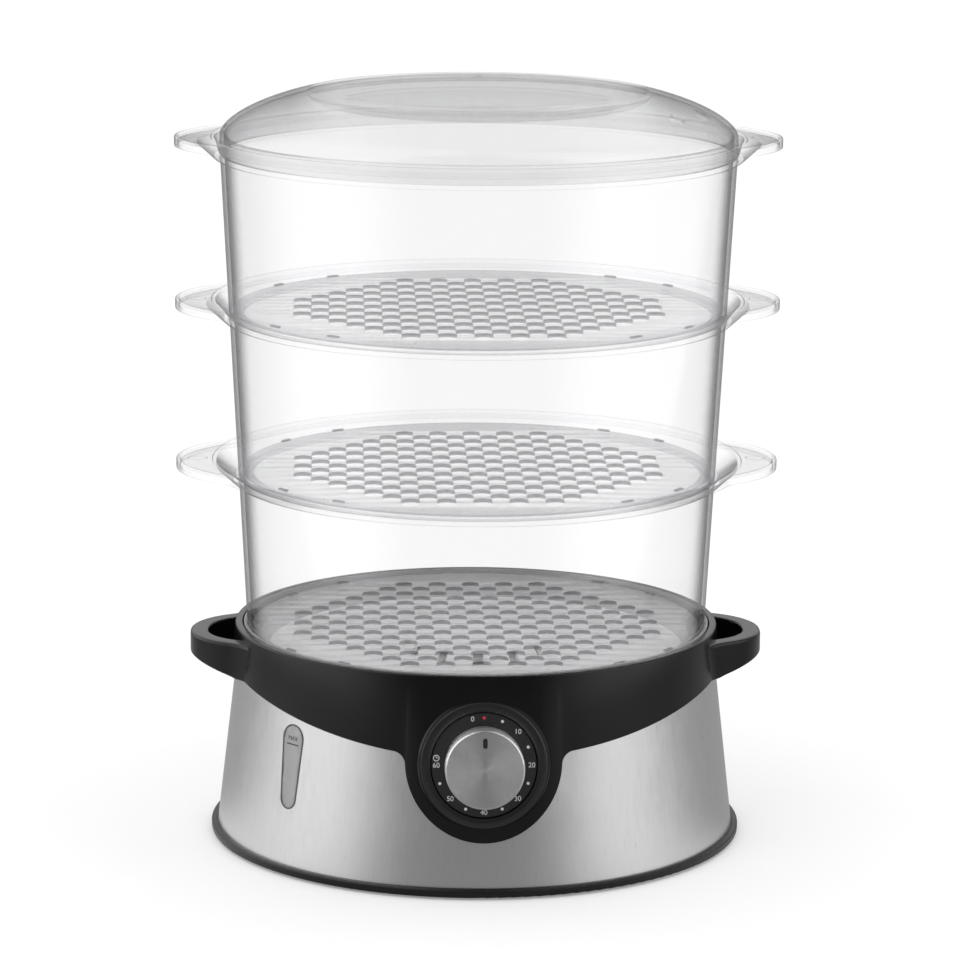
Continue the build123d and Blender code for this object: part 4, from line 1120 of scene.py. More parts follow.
# %% [markdown]
# The boss is the short round neck that lifts the ring off the leaning apron. The knob's
# shaft needs a way in, so a Boolean takes a round opening out of the apron behind it, and
# then the apron, the boss and the handles become one piece.

# %% Dial boss and the whole collar
boss_r, boss_back = 29.8, -9.0
boss_corners = [
    (bezel_inner, boss_back),
    (boss_r + 1.6, boss_back),
    (boss_r + 1.0, -3.2),
    (boss_r, -1.9),
    (boss_r - 0.1, bezel_foot),
    (bezel_inner, bezel_foot),
]
boss_section = rounded_section(boss_corners, [0.1, 0.1, 1.5, 1.5, 0.5, 0.1])
boss = turned("boss", boss_section, dial_axes, sharp=50.0)
opening_r, opening_back, opening_front = 27.0, -15.0, 8.0


def rod_section(radius, back, front):
    """The section of a plain round rod, to be turned into a tool that cuts a hole."""
    return np.array([(0, back), (radius, back), (radius, front), (0, front)]) * MM


opening = turned("opening", rod_section(opening_r, opening_back, opening_front), dial_axes, steps=96)
open_apron = carved(whole_apron, opening)
collar_meshes = [mesh_of(piece) for piece in (open_apron, right, left, boss)]
stand_in(joined("collar_moulding", collar_meshes), "collar")

# %% Bezel ring and plate
bezel_corners = [
    (bezel_inner, bezel_foot),
    (bezel_outer, bezel_foot),
    (bezel_outer, -0.55),
    (bezel_outer - 0.9, -0.2),
    (bezel_outer - 2.4, 0.0),
    (bezel_inner + 1.1, -0.15),
    (bezel_inner, -0.65),
]
bezel_section = rounded_section(bezel_corners, [0.1, 0.1, 0.3, 0.7, 0.9, 0.6, 0.3])
bezel = turned("dial_ring", bezel_section, dial_axes)
stand_in(bezel, "dial_bezel")
paint(bezel, "ring_black")
plate_ease = 0.25
plate_corners = [
    (0.0, plate_back),
    (plate_edge, plate_back),
    (plate_edge, plate_front - plate_ease),
    (plate_edge - plate_ease, plate_front),
    (0.0, plate_front),
]
plate_section = np.asarray(plate_corners, float) * MM
stand_in(turned("dial_disc", plate_section, dial_axes), "dial_plate")

# %% [markdown]
# The knob is a metal cap, a thin shell that fits over a plastic core. Its face is flat and
# carries fine turned rings. The rings are real geometry: a ripple of a hundredth of a
# millimetre on the profile. A bump in the shader would also show them, but the ripple is
# still there when the mesh is used without its material.

# %% Knob cap
ripple_height, ripple_pitch, ripple_start = 0.012, 0.9, 1.0
face_sunk, cap_t, face_steps = 0.05, 0.8, 90
face_line = np.linspace(0, knob_face, face_steps)
ripple = ripple_height * np.sin(face_line * 2 * pi / ripple_pitch) * (face_line > ripple_start)
side_corners = [
    (knob_face + 0.45, knob_top - 0.12),
    (knob_side - 0.12, knob_top - 0.75),
    (knob_side, knob_top - 1.4),
    (knob_side, knob_foot + 0.3),
    (knob_side - 0.3, knob_foot),
    (knob_side - cap_t, knob_foot),
    (knob_side - cap_t, knob_top - 2 * cap_t),
    (0.0, knob_top - cap_t),
]
face_corners = np.stack([face_line, knob_top - face_sunk + ripple], axis=1)
cap_section = np.vstack([face_corners, side_corners]) * MM
cap = turned("knob_cap_turned", cap_section, dial_axes, steps=256, sharp=50.0)
stand_in(cap, "knob_cap")

# %% [markdown]
# The pointer is a short black inlay near the knob's edge: a flat bar with round ends, let
# into the face and standing a twentieth of a millimetre out of it.

# %% Pointer
pointer_place, pointer_length, pointer_width = 12.3, 4.7, 2.1
pointer_deep, pointer_proud = 0.4, 0.05
half_run, half_width = (pointer_length - pointer_width) / 2, pointer_width / 2
pointer_end = arc_points([0.0, half_run], half_width, np.linspace(pi, 0, 13))
pointer_outline = np.vstack([pointer_end, -pointer_end])
pointer_levels = (knob_top - pointer_deep, knob_top + pointer_proud)
pointer = slab("knob_mark", pointer_outline, dial_axes, *pointer_levels, y=pointer_place)
stand_in(pointer, "knob_pointer")

# %% [markdown]
# ### Printing on the dial
#
# The minutes are printed on the plate, with a small clock over the last one. Printing could
# be a picture on the plate, but that needs a file or a large array. Letters made by a Text
# object stay sharp at any size. A Text object carries its own place, so each one is turned
# into a mesh first and then moved to its spot by its points. Everything printed stands a
# twentieth of a millimetre proud.


# %% Printed marks
print_t = 0.05


def flat_mesh(curve_object, axes, x, y, z):
    """The mesh of a text or flat curve, moved to (x, y, z) in the given axes, in mm."""
    bpy.context.view_layer.update()
    graph = bpy.context.evaluated_depsgraph_get()
    mesh = bpy.data.meshes.new_from_object(curve_object.evaluated_get(graph))
    mesh.transform(axes.matrix() @ Matrix.Translation(Vector((x, y, z)) * MM))
    curve = curve_object.data
    bpy.data.objects.remove(curve_object)
    bpy.data.curves.remove(curve)
    return mesh


def printed_text(words, height, axes, x, y, z):
    """Letters of that height in mm, centred on (x, y), as thick as the print."""
    size_to_capital = 1.4  # a font's size is about 1.4 times the height of its capitals
    letters = bpy.data.curves.new("letters", "FONT")
    letters.body = words
    letters.size = height * size_to_capital * MM
    letters.align_x = "CENTER"
    letters.align_y = "CENTER"
    letters.extrude = print_t / 2 * MM
    thing = bpy.data.objects.new("letters", letters)
    bpy.context.scene.collection.objects.link(thing)
    return flat_mesh(thing, axes, x, y, z)


def circle(radius, steps=24):
    """Points of a circle about the origin."""
    return arc_points(np.zeros(2), radius, np.arange(steps) * 2 * pi / steps)


# %% Minutes
moulded("print_white", (0.62, 0.62, 0.62), 0.5, grain=0.0)
moulded("print_red", (0.6, 0.02, 0.015), 0.5, grain=0.0)
mark_r, number_height, dot_r = 21.9, 2.35, 0.7
text_rise = 0.03
print_low, print_high = plate_front, plate_front + print_t
full_turn, full_time, number_step = 270.0, 60, 10
zero_aside = -14.0  # the 0 stands beside the red dot that marks it


def clock_place(minutes, aside=0.0):
    """Where a time stands on the dial: (r sin a, r cos a), clockwise from the top."""
    clock = radians(minutes * full_turn / full_time + aside)
    return mark_r * sin(clock), mark_r * cos(clock)


dial_marks = []
for minutes in range(0, full_time + 1, number_step):
    place = clock_place(minutes, 0.0 if minutes else zero_aside)
    text = printed_text(str(minutes), number_height, dial_axes, *place, plate_front + text_rise)
    dial_marks.append(text)
for minutes in range(number_step // 2, full_time, number_step):
    dot = slab("dot", circle(dot_r), dial_axes, print_low, print_high, *clock_place(minutes))
    dial_marks.append(mesh_of(dot))
print("numbers and dots:", len(dial_marks))

# %% Clock sign
sign_r, sign_line, sign_rise = 1.5, 0.38, 3.4
sign_hands = ((0.0, 0.45, 0.16, 0.45), (0.35, 0.05, 0.35, 0.14))


def box_section(low_u, high_u, low_v, high_v):
    """The four corners of a plain rectangle, from its lowest corner round."""
    return np.array([(low_u, low_v), (high_u, low_v), (high_u, high_v), (low_u, high_v)])


sign_centre = dial_axes.origin + (dial_axes.up * sign_rise - dial_axes.right * mark_r) * MM
sign_axes = Axes(sign_centre, dial_axes.right, dial_axes.out)
sign_section = box_section(sign_r - sign_line, sign_r, print_low, print_high)
dial_marks.append(mesh_of(turned("sign", sign_section * MM, sign_axes, steps=32)))
for hand_x, hand_y, half_x, half_y in sign_hands:
    hand = box_section(-half_x, half_x, -half_y, half_y)
    hand_piece = slab("hand", hand, sign_axes, print_low, print_high, hand_x, hand_y)
    dial_marks.append(mesh_of(hand_piece))
printed = joined("dial_print", dial_marks)
paint(printed, "print_white")
extra(printed, "base")
red_dot = slab("dial_zero_dot", circle(dot_r), dial_axes, print_low, print_high, 0.0, mark_r)
paint(red_dot, "print_red")
extra(red_dot, "base")

# %% [markdown]
# ### The rim and the level mark of the water gauge
#
# The window shows how high the water stands in the tank behind it. Its outline is two arcs,
# the upper one wider, and the straight lines that touch both. A thin dark rim runs along
# it. The sleeve is round there, so a point that lies x millimetres beside the window's
# middle line sits back by R - sqrt(R^2 - x^2).

# %% Gauge rim
gauge_turn, gauge_z = radians(-48.0), 51.0
gauge_h, gauge_top_w, gauge_foot_w = 40.0, 13.7, 10.2
gauge_r = skin_foot_r - (gauge_z - skin_foot_z) * tan(radians(skin_lean))
gauge_out = Vector((sin(gauge_turn), -cos(gauge_turn), tan(radians(skin_lean))))
gauge_place = (gauge_r * sin(gauge_turn) * MM, -gauge_r * cos(gauge_turn) * MM, gauge_z * MM)
gauge_axes = Axes(gauge_place, (cos(gauge_turn), sin(gauge_turn), 0), gauge_out)
arc_rise, arc_drop = (gauge_h - gauge_top_w) / 2, (gauge_h - gauge_foot_w) / 2
taper = np.arcsin((gauge_top_w - gauge_foot_w) / 2 / (arc_rise + arc_drop))
top_turn = np.linspace(-taper, pi + taper, 41)
foot_turn = np.linspace(pi + taper, 2 * pi - taper, 41)
rim_normal = arc_points(np.zeros(2), 1.0, np.concatenate([top_turn, foot_turn]))
rim_base = np.vstack([
    arc_points(np.array([0, arc_rise]), gauge_top_w / 2, top_turn),
    arc_points(np.array([0, -arc_drop]), gauge_foot_w / 2, foot_turn),
])
rim_outside, rim_inside, rim_proud, rim_deep = 0.15, -0.55, 0.2, -0.4
rim_corners = [
    (rim_outside, rim_deep),
    (rim_outside, rim_proud),
    (rim_inside, rim_proud),
    (rim_inside, rim_deep),
]
rim_rows = []
for aside, rise in rim_corners:
    line = rim_base + aside * rim_normal
    set_back = np.sqrt(gauge_r**2 - line[:, 0] ** 2) - gauge_r
    rim_rows.append(np.column_stack([line, rise + set_back]))
rim_grid = closed_curve(np.array(rim_rows + rim_rows[:1]))
moulded("gauge_seal", (0.07, 0.07, 0.072), 0.5)
gauge_rim = grid_piece("gauge_rim", gauge_axes.place(rim_grid * MM))
paint(gauge_rim, "gauge_seal")
extra(gauge_rim, "base")

# %% Level mark
moulded("print_dark", (0.03, 0.03, 0.03), 0.5, grain=0.0)
word_height, word_y, word_rise = 2.1, 13.4, 0.05
level_half_w, level_half_h, level_y = 3.9, 0.3, 10.6
level_back, level_front = -0.1, 0.06
level_word = printed_text("MAX", word_height, gauge_axes, 0.0, word_y, word_rise)
level_outline = box_section(-level_half_w, level_half_w, -level_half_h, level_half_h)
level_line = slab("level", level_outline, gauge_axes, level_back, level_front, y=level_y)
level_mark = joined("gauge_mark", [level_word, mesh_of(level_line)])
paint(level_mark, "print_dark")
extra(level_mark, "base")

# %% [markdown]
# ## The clear tiers
#
# A tier is one moulding: a drafted wall with a small inward lip at its foot, a flared rim
# that the next tier nests in, and a flange all round that grows into two ears to lift it
# by. The ears stop it from being a plain turned shape, and a Boolean union of a bowl and two
# ears would lose the smooth fillet between them. So the wall is a grid again: one section
# at each angle round the axis, whose corners depend on how far the flange reaches there.
# Seen from above, the flange's outline has three parts: the rim's circle, the ear's nose
# and the fillet between them.

# %% Tier sizes
wall_t, wall_draft = 2.0, 2.9
rim_r, rim_t = 127.0, 2.0
seat_ledge_t, seat_slack = 2.0, 0.3
lip_w, lip_t = 5.0, 1.8
skirt_h, skirt_t, ear_plate_t = 4.6, 1.6, 2.0
nose_r, nose_x, blend_r = 55.0, 89.0, 16.0
ear_dish, dish_fade = 0.6, 4.0
under_reach, skirt_gap = 8.6, 0.05


def flange_outline(angle):
    """Radius of the flange at each angle from +X. The nose is the circle of radius nose_r
    about (nose_x, 0); the fillet of radius blend_r touches it and the rim's circle from
    outside."""
    a = np.abs((angle + pi / 2) % pi - pi / 2)
    nose = nose_x * np.cos(a) + np.sqrt(np.maximum(nose_r**2 - (nose_x * np.sin(a)) ** 2, 0))
    far = rim_r + blend_r
    near = nose_r + blend_r
    fillet_angle = np.arccos((far**2 + nose_x**2 - near**2) / (2 * far * nose_x))
    touch_nose = np.arctan2(
        far * sin(fillet_angle) * nose_r / near,
        nose_x + (far * cos(fillet_angle) - nose_x) * nose_r / near,
    )
    swing = far * np.cos(a - fillet_angle)
    fillet = swing - np.sqrt(np.maximum(swing**2 - far**2 + blend_r**2, 0))
    return np.where(a < touch_nose, nose, np.where(a < fillet_angle, fillet, rim_r))


def ear_angles(steps, gather=0.192):
    """Angles round the tier, a - g sin 2a, which lie closer together at the two ears."""
    even = np.linspace(0, 2 * pi, steps + 1)
    return even - gather * np.sin(2 * even)


# %% [markdown]
# The ear is a thin plate with a skirt round its edge. Its top is dished a little, so that a
# narrow rim stands round it. Where the flange is narrow, between the ears, there is no room
# for that rim: each of its widths is the smaller of a size in millimetres and a share of the
# flange's own width.


# %% A tier's section
def tier_section(index, angle):
    """Corners of the wall's section at each angle, in mm, from the lip's underside round."""
    z0, z1 = seat[index] / MM, (seat[index] + tier_pitch) / MM
    top = z1 + rim_h / MM
    foot_r = foot[index] / MM
    wall_top = foot_r + (z1 - z0) * tan(radians(wall_draft))
    flare = foot_r + tier_step / MM + seat_slack
    edge = flange_outline(angle)
    dish = ear_dish * np.clip((edge - rim_r) / dish_fade, 0, 1)
    rim_bore = rim_r - rim_t
    ear = edge - rim_bore
    under = np.minimum(flare + rim_t + under_reach, edge - skirt_t - skirt_gap)
    corners = [
        (foot_r - wall_t - lip_w, z0),
        (foot_r, z0),
        (wall_top, z1 - seat_ledge_t),
        (flare + rim_t, z1 - seat_ledge_t),
        (under, top - ear_plate_t),
        (edge - skirt_t, top - ear_plate_t),
        (edge - skirt_t, top - skirt_h),
        (edge, top - skirt_h),
        (edge, top),
        (edge - np.minimum(1.6, 0.2 * ear), top),
        (edge - np.minimum(2.4, 0.3 * ear), top - dish),
        (rim_bore + np.minimum(2.0, 0.5 * ear), top - dish),
        (rim_bore + np.minimum(1.3, 0.3 * ear), top),
        (rim_bore, top),
        (flare, z1),
        (wall_top - wall_t, z1),
        (foot_r - wall_t, z0 + lip_t),
        (foot_r - wall_t - lip_w, z0 + lip_t),
    ]
    return sections(corners, angle)


lip_and_ledge = [0.4, 0.9, 1.2, 1.0]
flange_and_ear = [0.6, 0.4, 0.3, 0.5, 0.5, 0.4, 0.4, 0.4, 0.4, 0.7]
inside = [1.2, 1.0, 0.6, 0.5]
tier_rounding = lip_and_ledge + flange_and_ear + inside
print("corners of a tier's section:", len(tier_rounding))

# %% [markdown]
# Each ear also has a small raised ring on its dish, the mark that the mould leaves there.
# Faces that lie nearly level get the flat finish, whose greyer tint is painted shade.

# %% Tier walls
tier_angle = ear_angles(480)
ear_mark_x, ear_mark_bore, ear_mark_r = 134.0, 4.3, 4.8
ear_mark_deep, ear_mark_rise = 0.2, 0.35
mark_section = box_section(ear_mark_bore, ear_mark_r, -ear_mark_deep, ear_mark_rise)
nearly_level = 0.85
for index, name in enumerate(tier_names):
    loops = closed_curve(rounded_loop(tier_section(index, tier_angle), tier_rounding) * MM)
    radius, height = loops[..., 0], loops[..., 1]
    round_axis = tier_angle[:, None]
    wall_points = np.stack([radius * np.cos(round_axis), radius * np.sin(round_axis), height], axis=-1)
    wall_meshes = [mesh_of(grid_piece("wall", wall_points, sharp=45.0))]
    dish_z = seat[index] + tier_pitch + rim_h - ear_dish * MM
    for side in (-1, 1):
        mark_axes = Axes((side * ear_mark_x * MM, 0, dish_z), (1, 0, 0), (0, 0, 1))
        wall_meshes.append(mesh_of(turned("mark", mark_section * MM, mark_axes, steps=48)))
    wall = stand_in(joined(f"{name}_moulding", wall_meshes), f"{name}_wall")
    # painted shade: level faces of the clear moulding get the greyer flat tint
    level_faces = np.abs(face_values(wall, "normal")[:, 2]) > nearly_level
    second_finish(wall, "clear_flat", level_faces)

# %% [markdown]
# ## Perforated floors
#
# Food stands on a floor that lets the steam through: a flat plate with rows of round
# holes, every second row shifted by half a step. Cutting over a hundred holes with
# Booleans would be slow. A flat filled curve is the natural tool: the outer circle and
# every hole are closed loops, and Blender fills what lies between. The curve's own bevel
# eases the edges, and its offset draws them in by as much, so the holes keep their size.

# %% Floors
floor_t, floor_edge = 2.0, 0.25
hole_r, hole_field = 4.3, 90.0
hole_step_x, hole_step_y = 16.7, 10.4
plate_gap = 0.4
plate_steps, hole_steps = 160, 18


def hole_places():
    """Centres of the holes, in mm, as rows that are shifted by turns."""
    rows, columns = int(hole_field / hole_step_y), int(hole_field / hole_step_x) + 1
    row, column = np.mgrid[-rows : rows + 1, -columns : columns + 1]
    x = hole_step_x * (column + (row % 2) / 2)
    y = hole_step_y * row
    keep = np.hypot(x, y) < hole_field
    return np.stack([x[keep], y[keep]], axis=1)


def perforated(outer, low):
    """The mesh of a plate of that radius with its holes, standing from low upwards, in mm."""
    plate = bpy.data.curves.new("plate", "CURVE")
    plate.dimensions = "2D"
    plate.fill_mode = "BOTH"
    plate.extrude = (floor_t / 2 - floor_edge) * MM
    plate.bevel_depth = floor_edge * MM
    plate.bevel_resolution = 1
    plate.offset = -floor_edge * MM
    holes = [circle(hole_r, hole_steps) + place for place in hole_places()]
    for loop in [circle(outer, plate_steps), *holes]:
        spline = plate.splines.new("POLY")
        spline.points.add(len(loop) - 1)
        flat = np.column_stack([loop * MM, np.zeros(len(loop)), np.ones(len(loop))])
        spline.points.foreach_set("co", flat.ravel())
        spline.use_cyclic_u = True
    thing = bpy.data.objects.new("plate", plate)
    bpy.context.scene.collection.objects.link(thing)
    return flat_mesh(thing, UPRIGHT, 0.0, 0.0, low + floor_t / 2)


print("holes in a floor:", len(hole_places()))

# %% [markdown]
# Low clips on the plate's edge hold it in its tier. Each is a short bar, bent round the
# plate: a rounded section carried along an arc, with both ends closed. They are set in by
# a little and sunk by a little, so that no face of theirs lies in the plate's own faces.

# %% Floor clips
clip_wide, clip_tall, clip_long = 2.0, 0.9, 6.0
clip_inset, clip_sunk, clip_rounding = 0.3, 0.05, 0.3
clip_turns = [sign * turn for turn in (37.0, 56.5, 123.5, 143.0) for sign in (-1, 1)]


def clip(outer, low, turn, steps=7):
    """A clip that stands on the plate's edge, at an angle in degrees from -Y: the points
    (r cos a, r sin a, z) of its section (r, z), for angles a within its length."""
    angle = radians(turn - 90) + np.linspace(-clip_long, clip_long, steps) / 2 / outer
    corners = box_section(outer - clip_wide, outer, low, low + clip_tall)
    loop = rounded_section(corners, [clip_rounding] * 4)
    r, z = np.vstack([loop, loop[:1]]).T
    angle = angle[:, None]
    rows = np.stack([r * np.cos(angle), r * np.sin(angle), z + 0 * angle], axis=-1)
    return mesh_of(grid_piece("clip", capped(rows)))


# %% [markdown]
# The plate is so clear that a floor would hardly show. What one sees of a real floor is the
# walls of its holes, which look dark where they bend and mirror the light, and its clips. So
# the upright faces within the field of holes, and all faces that stand above the plate, get
# the darker finish: painted shade that stands in for that bent and mirrored light.

# %% Floors with their clips
margin, upright_below = 0.5, 0.5
for index, name in enumerate(tier_names):
    plate_low = seat[index] / MM + lip_t
    plate_r = foot[index] / MM - wall_t - plate_gap
    clip_low = plate_low + floor_t - clip_sunk
    plate_meshes = [tidy_mesh(perforated(plate_r, plate_low), merge=1e-6)]
    plate_meshes += [clip(plate_r - clip_inset, clip_low, turn) for turn in clip_turns]
    plate = stand_in(joined(f"{name}_plate", plate_meshes), f"{name}_floor")
    paint(plate, "clear_floor")
    centre = face_values(plate, "center") / MM
    upright = np.abs(face_values(plate, "normal")[:, 2]) < upright_below
    raised = centre[:, 2] > plate_low + floor_t + clip_sunk
    in_field = np.hypot(centre[:, 0], centre[:, 1]) < hole_field + hole_r + margin
    # painted shade: hole walls and clips get the dark hole_wall tint
    second_finish(plate, "hole_wall", (upright & in_field) | raised)

# %% [markdown]
# ## The lid
#
# The lid is a dome with a short upright skirt. Two finger scoops are pressed into its top
# and leave a bar between them to lift it by. Scoops cut out with a Boolean would need a
# tool as carefully shaped as the scoops themselves, and would leave a sharp lip. Instead
# each half of the lid is one family of closed curves: they start as the D of the scoop's
# floor, grow to the D of its lip, and end as half of the lid's own circle. The two halves
# meet along the middle line of the bar, where their points are merged.

# %% Lid curves
lid_rise, lid_skirt, lid_wall = 36.7, 9.0, 2.0
dome_fall, dome_shoulder = 2.38, 0.615
scoop_r, scoop_depth = 80.0, 17.0
heel_r, heel_rise = 64.0, 4.25
bar_half, bar_foot = 8.5, 2.5


def dome_height(r):
    """Height of the dome above the lid's foot: skirt + (rise - skirt) (1 - (r/R)^p)^q, where
    p says how late the dome starts to fall and q how round its shoulder is."""
    share = np.clip(r / (lid_r / MM), 0, 1)
    return lid_skirt + (lid_rise - lid_skirt) * (1 - share**dome_fall) ** dome_shoulder


def scoop_floor(r):
    """Height of the scoop's floor, which rises slowly towards its heel."""
    return lid_rise - scoop_depth + heel_rise * (r / heel_r) ** 2


d_arc_steps, d_chord_steps = 180, 90


def d_curve(radius, chord):
    """A D on the -Y side: an arc of that radius from -X round to +X, then the chord back."""
    start = np.arcsin(chord / radius)
    arc = arc_points(np.zeros(2), radius, np.linspace(pi + start, 2 * pi - start, d_arc_steps + 1))
    back = np.linspace(1, -1, d_chord_steps + 1)[1:]
    line = np.stack([back * radius * np.cos(start), np.full(d_chord_steps, -chord)], axis=1)
    return np.vstack([arc, line])


def between(first, second, share):
    """Curves between two curves at the given shares, as an array (shares, points, 2)."""
    share = np.asarray(share).reshape(-1, 1, 1)
    return first * (1 - share) + second * share


rim_curve = d_curve(lid_r / MM, 0.0)
lip_curve = d_curve(scoop_r, bar_half)
heel_curve = d_curve(heel_r, bar_half + bar_foot)
centre_curve = np.zeros_like(heel_curve) + [0.0, -(heel_r + bar_half) / 2]
print("points on each of the lid's curves:", len(rim_curve))

# %% [markdown]
# Between two curves the plan is a blend of them, and the height is a formula. On the dome
# and on the scoop's floor it depends on the distance from the axis. On the scoop's side it
# follows a quarter of an ellipse: the plan moves by 1 - cos a while the height falls by
# sin a, so the side starts steep at the lip and runs level into the floor. Rows on the dome
# lie closer together near the rim, where it curves most.

# %% Lid surface
dome_rows, side_rows, floor_rows, skirt_rows = 34, 13, 12, 5
rim_crowding = 2.4


def radius_of(plan):
    """The distance from the Z axis of each point (x, y) of a plan."""
    return np.hypot(plan[..., 0], plan[..., 1])


def raised_to(plan, height):
    """A plan of points (x, y) with a height given to each."""
    return np.concatenate([plan, height[..., None]], axis=-1)


towards_rim = 1 - (1 - np.linspace(0, 1, dome_rows)) ** rim_crowding
dome_plan = between(rim_curve, lip_curve, 1 - towards_rim[::-1])
dome_part = raised_to(dome_plan, dome_height(radius_of(dome_plan)))
quarter_turn = np.linspace(0, 1, side_rows) * pi / 2
side_plan = between(lip_curve, heel_curve, 1 - np.cos(quarter_turn))
lip_height = dome_height(radius_of(lip_curve))
heel_height = scoop_floor(radius_of(heel_curve))
fallen = np.sin(quarter_turn)[:, None]
side_part = raised_to(side_plan, lip_height * (1 - fallen) + heel_height * fallen)
floor_plan = between(heel_curve, centre_curve, np.linspace(0, 1, floor_rows))
floor_part = raised_to(floor_plan, scoop_floor(radius_of(floor_plan)))
half_rim = rim_curve[: d_arc_steps + 1]
skirt_plan = between(half_rim, half_rim, np.zeros(skirt_rows))
skirt_level = np.linspace(lid_skirt, 0, skirt_rows)[:, None]
skirt_part = raised_to(skirt_plan, skirt_level + 0 * skirt_plan[..., 0])

# %% [markdown]
# The four parts of each half are grids that share their edge rows, so merging their points
# makes one open surface. A real lid is a wall about two millimetres thick, and Solidify
# gives it that: it adds an inner surface, set back along each point's normal.

# %% Lid mesh and wall
front_grids = [closed_curve(part)[::-1] for part in (dome_part, side_part, floor_part)]
front_grids.append(skirt_part[::-1])
back_grids = [grid[:, ::-1] * [1, -1, 1] for grid in front_grids]
lid_grids = [(grid + [0, 0, lid_z / MM]) * MM for grid in front_grids + back_grids]
lid_piece = grid_piece("lid_dome", *lid_grids, merge=5e-6, sharp=40.0, outwards=False)
outer_count = len(lid_piece.data.vertices)
thickness = lid_piece.modifiers.new("wall", "SOLIDIFY")
thickness.thickness = lid_wall * MM
thickness.offset = -1.0
lid_piece = settled(lid_piece)
print("points of the lid's outer surface:", outer_count)

# %% [markdown]
# Where the two halves meet beyond the ends of the bar, the curves crowd together and their
# cells are slivers. A sliver's normal is not to be trusted, and Solidify would fold the
# inner surface there. The dome's true normal is known from its formula, so the inner points
# along that seam are put where it says.


# %% Straighten the seam


def dome_slope(r, step=0.01):
    """How steeply the dome rises outwards at a distance from the axis: dh/dr."""
    return (dome_height(r + step) - dome_height(r - step)) / (2 * step)


def straightened(mesh, seam_half=1.6, above_skirt=0.05):
    """Solidify's inner points follow its outer ones in order. Along the seam, each is put
    back at P - t N, with N the dome's own normal, along (-h' x/r, -h' y/r, 1)."""
    flat = np.zeros(len(mesh.vertices) * 3)
    mesh.vertices.foreach_get("co", flat)
    points = flat.reshape(-1, 3) / MM
    outer = points[:outer_count]
    r = np.maximum(radius_of(outer), 1.0)
    level = outer[:, 2] - lid_z / MM
    slope = dome_slope(r)
    normal = np.stack([-slope * outer[:, 0] / r, -slope * outer[:, 1] / r, np.ones_like(r)], axis=1)
    normal /= np.linalg.norm(normal, axis=1, keepdims=True)
    seam = (np.abs(outer[:, 1]) < seam_half) & (r > scoop_r) & (level > lid_skirt + above_skirt)
    points[outer_count : 2 * outer_count][seam] = (outer - lid_wall * normal)[seam]
    mesh.vertices.foreach_set("co", points.ravel() * MM)
    mesh.update()
    print("inner points put straight along the lid's seam:", int(seam.sum()))


straightened(lid_piece.data)

# %% [markdown]
# Two round vents let the steam out of the lid. Each is a real hole, cut with a rod that
# stands square on the dome, and has a thin raised rim. A Boolean is right here: the holes
# are few and small, and the rim hides where it cut. A small pip marks the middle of the grip
# bar, where the moulding was filled.

# %% Vents and pip
vent_places = [(90.0, -52.0), (104.0, -24.0)]
vent_r, vent_rim, vent_rise, vent_deep = 3.2, 0.6, 0.45, 0.6
rod_half = 5.0
pip_r, pip_rise, pip_deep = 1.8, 0.8, 0.5
vent_section = box_section(vent_r, vent_r + vent_rim, -vent_deep, vent_rise)
vent_rounding = [0.1, 0.1, 0.25, 0.25]
lid_details = []
for vent_x, vent_y in vent_places:
    vent_reach = sqrt(vent_x**2 + vent_y**2)
    fall = dome_slope(vent_reach, step=0.5) / vent_reach
    vent_place = Vector((vent_x, vent_y, lid_z / MM + dome_height(vent_reach))) * MM
    vent_axes = Axes(vent_place, (-vent_y, vent_x, 0), (-fall * vent_x, -fall * vent_y, 1))
    rod = turned("rod", rod_section(vent_r, -rod_half, rod_half), vent_axes, steps=32)
    lid_piece = carved(lid_piece, rod)
    vent_edge = turned("rim", rounded_section(vent_section, vent_rounding), vent_axes, steps=48)
    lid_details.append(mesh_of(vent_edge))
pip_turn = np.linspace(pi / 2, 0, 7)
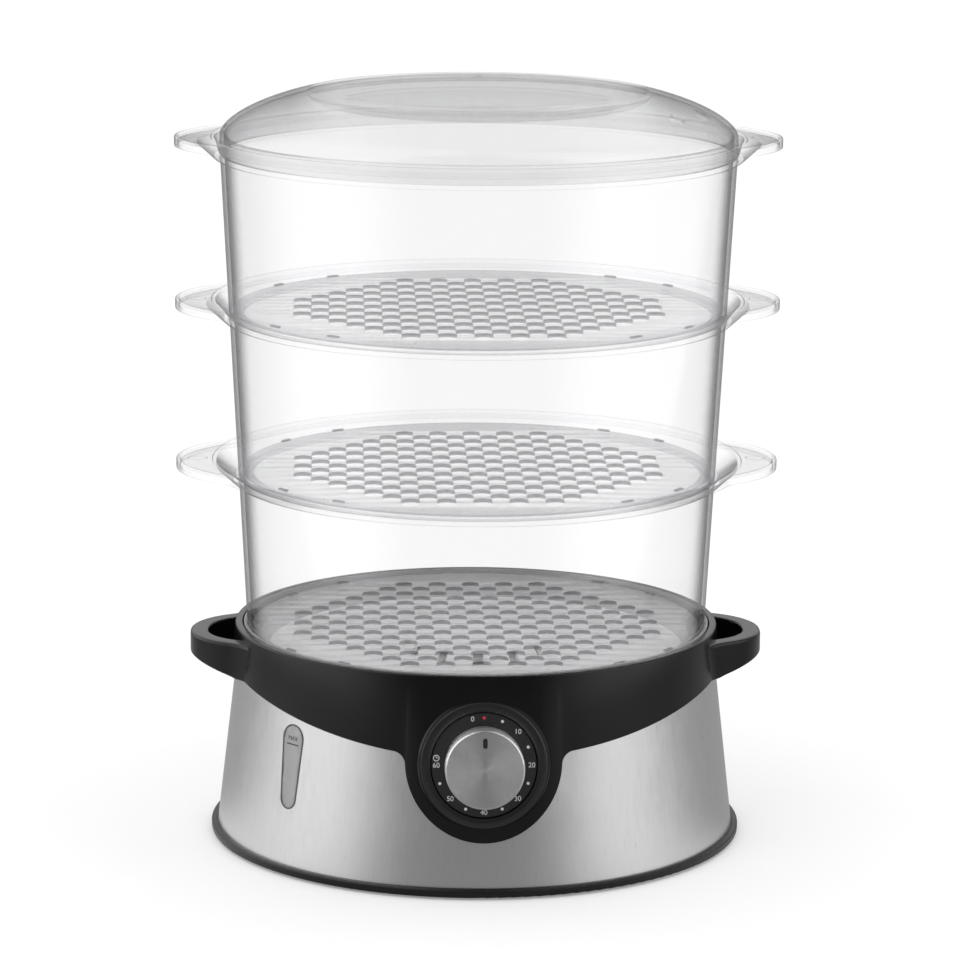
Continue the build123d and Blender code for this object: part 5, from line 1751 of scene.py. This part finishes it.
pip_arc = np.stack([pip_r * np.cos(pip_turn), pip_rise * np.sin(pip_turn)], axis=1)
pip_line = np.vstack([pip_arc, [(pip_r, -pip_deep), (0.0, -pip_deep)]])
pip = (pip_line + [0, lid_rise + lid_z / MM]) * MM
lid_details.append(mesh_of(turned("pip", pip, steps=32, closed=False)))
lid_trim = joined("lid_trim", lid_details)
paint(lid_trim, "clear_shell")
extra(lid_trim, frame["nodes"]["lid"]["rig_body"])

# %% [markdown]
# The lid is one mesh with four finishes. Each face is told apart by its place: how far its
# middle lies from the axis, and how far from the bar's middle line. Later finishes win, so
# the whole scoop is given first, then its sides, and last the heel of its round side.

# %% Lid finishes
bar_margin, heel_middle, heel_half = 0.1, 1.5, 2.0
lid_piece = stand_in(lid_piece, "lid")
face_place = face_values(lid_piece, "center") / MM
face_r, face_aside = radius_of(face_place), np.abs(face_place[:, 1])
in_scoop = (face_r < scoop_r) & (face_aside > bar_half - bar_margin)
on_side = in_scoop & ((face_r > heel_r) | (face_aside < bar_half + bar_foot))
near_heel = np.abs(face_r - heel_r - heel_middle) < heel_half
on_heel = in_scoop & near_heel & (face_aside > 2 * (bar_half + bar_foot))
# the sides' clearer tint is painted light and the heel's darker tint is painted shade
for slot, chosen in (("lid_scoop", in_scoop), ("lid_side", on_side), ("lid_heel", on_heel)):
    second_finish(lid_piece, slot, chosen)
    print(slot, "is chosen for", int(chosen.sum()), "faces")

# %% [markdown]
# ## The drip tray and the parts inside
#
# The tray catches what drips from the food, and keeps the frame's form. Its lip, the faces
# furthest from the axis, gets the darker finish. The small inner parts keep the frame's own
# meshes and only get their finish: nobody sees them closely, but they show through the
# clear parts and when the steamer is taken apart.

# %% Dress the rest
tray = dressed("drip_tray")
tray_lip_r = 100.0
second_finish(tray, "tray_lip", radius_of(face_values(tray, "center")) > tray_lip_r * MM)
for part_name, part_slot in slot_of.items():
    part = frame["nodes"][part_name]
    if not part.hide_render:
        paint(part, part_slot)
print("frame parts that show as they are:", [n for n in slot_of if not frame["nodes"][n].hide_render])
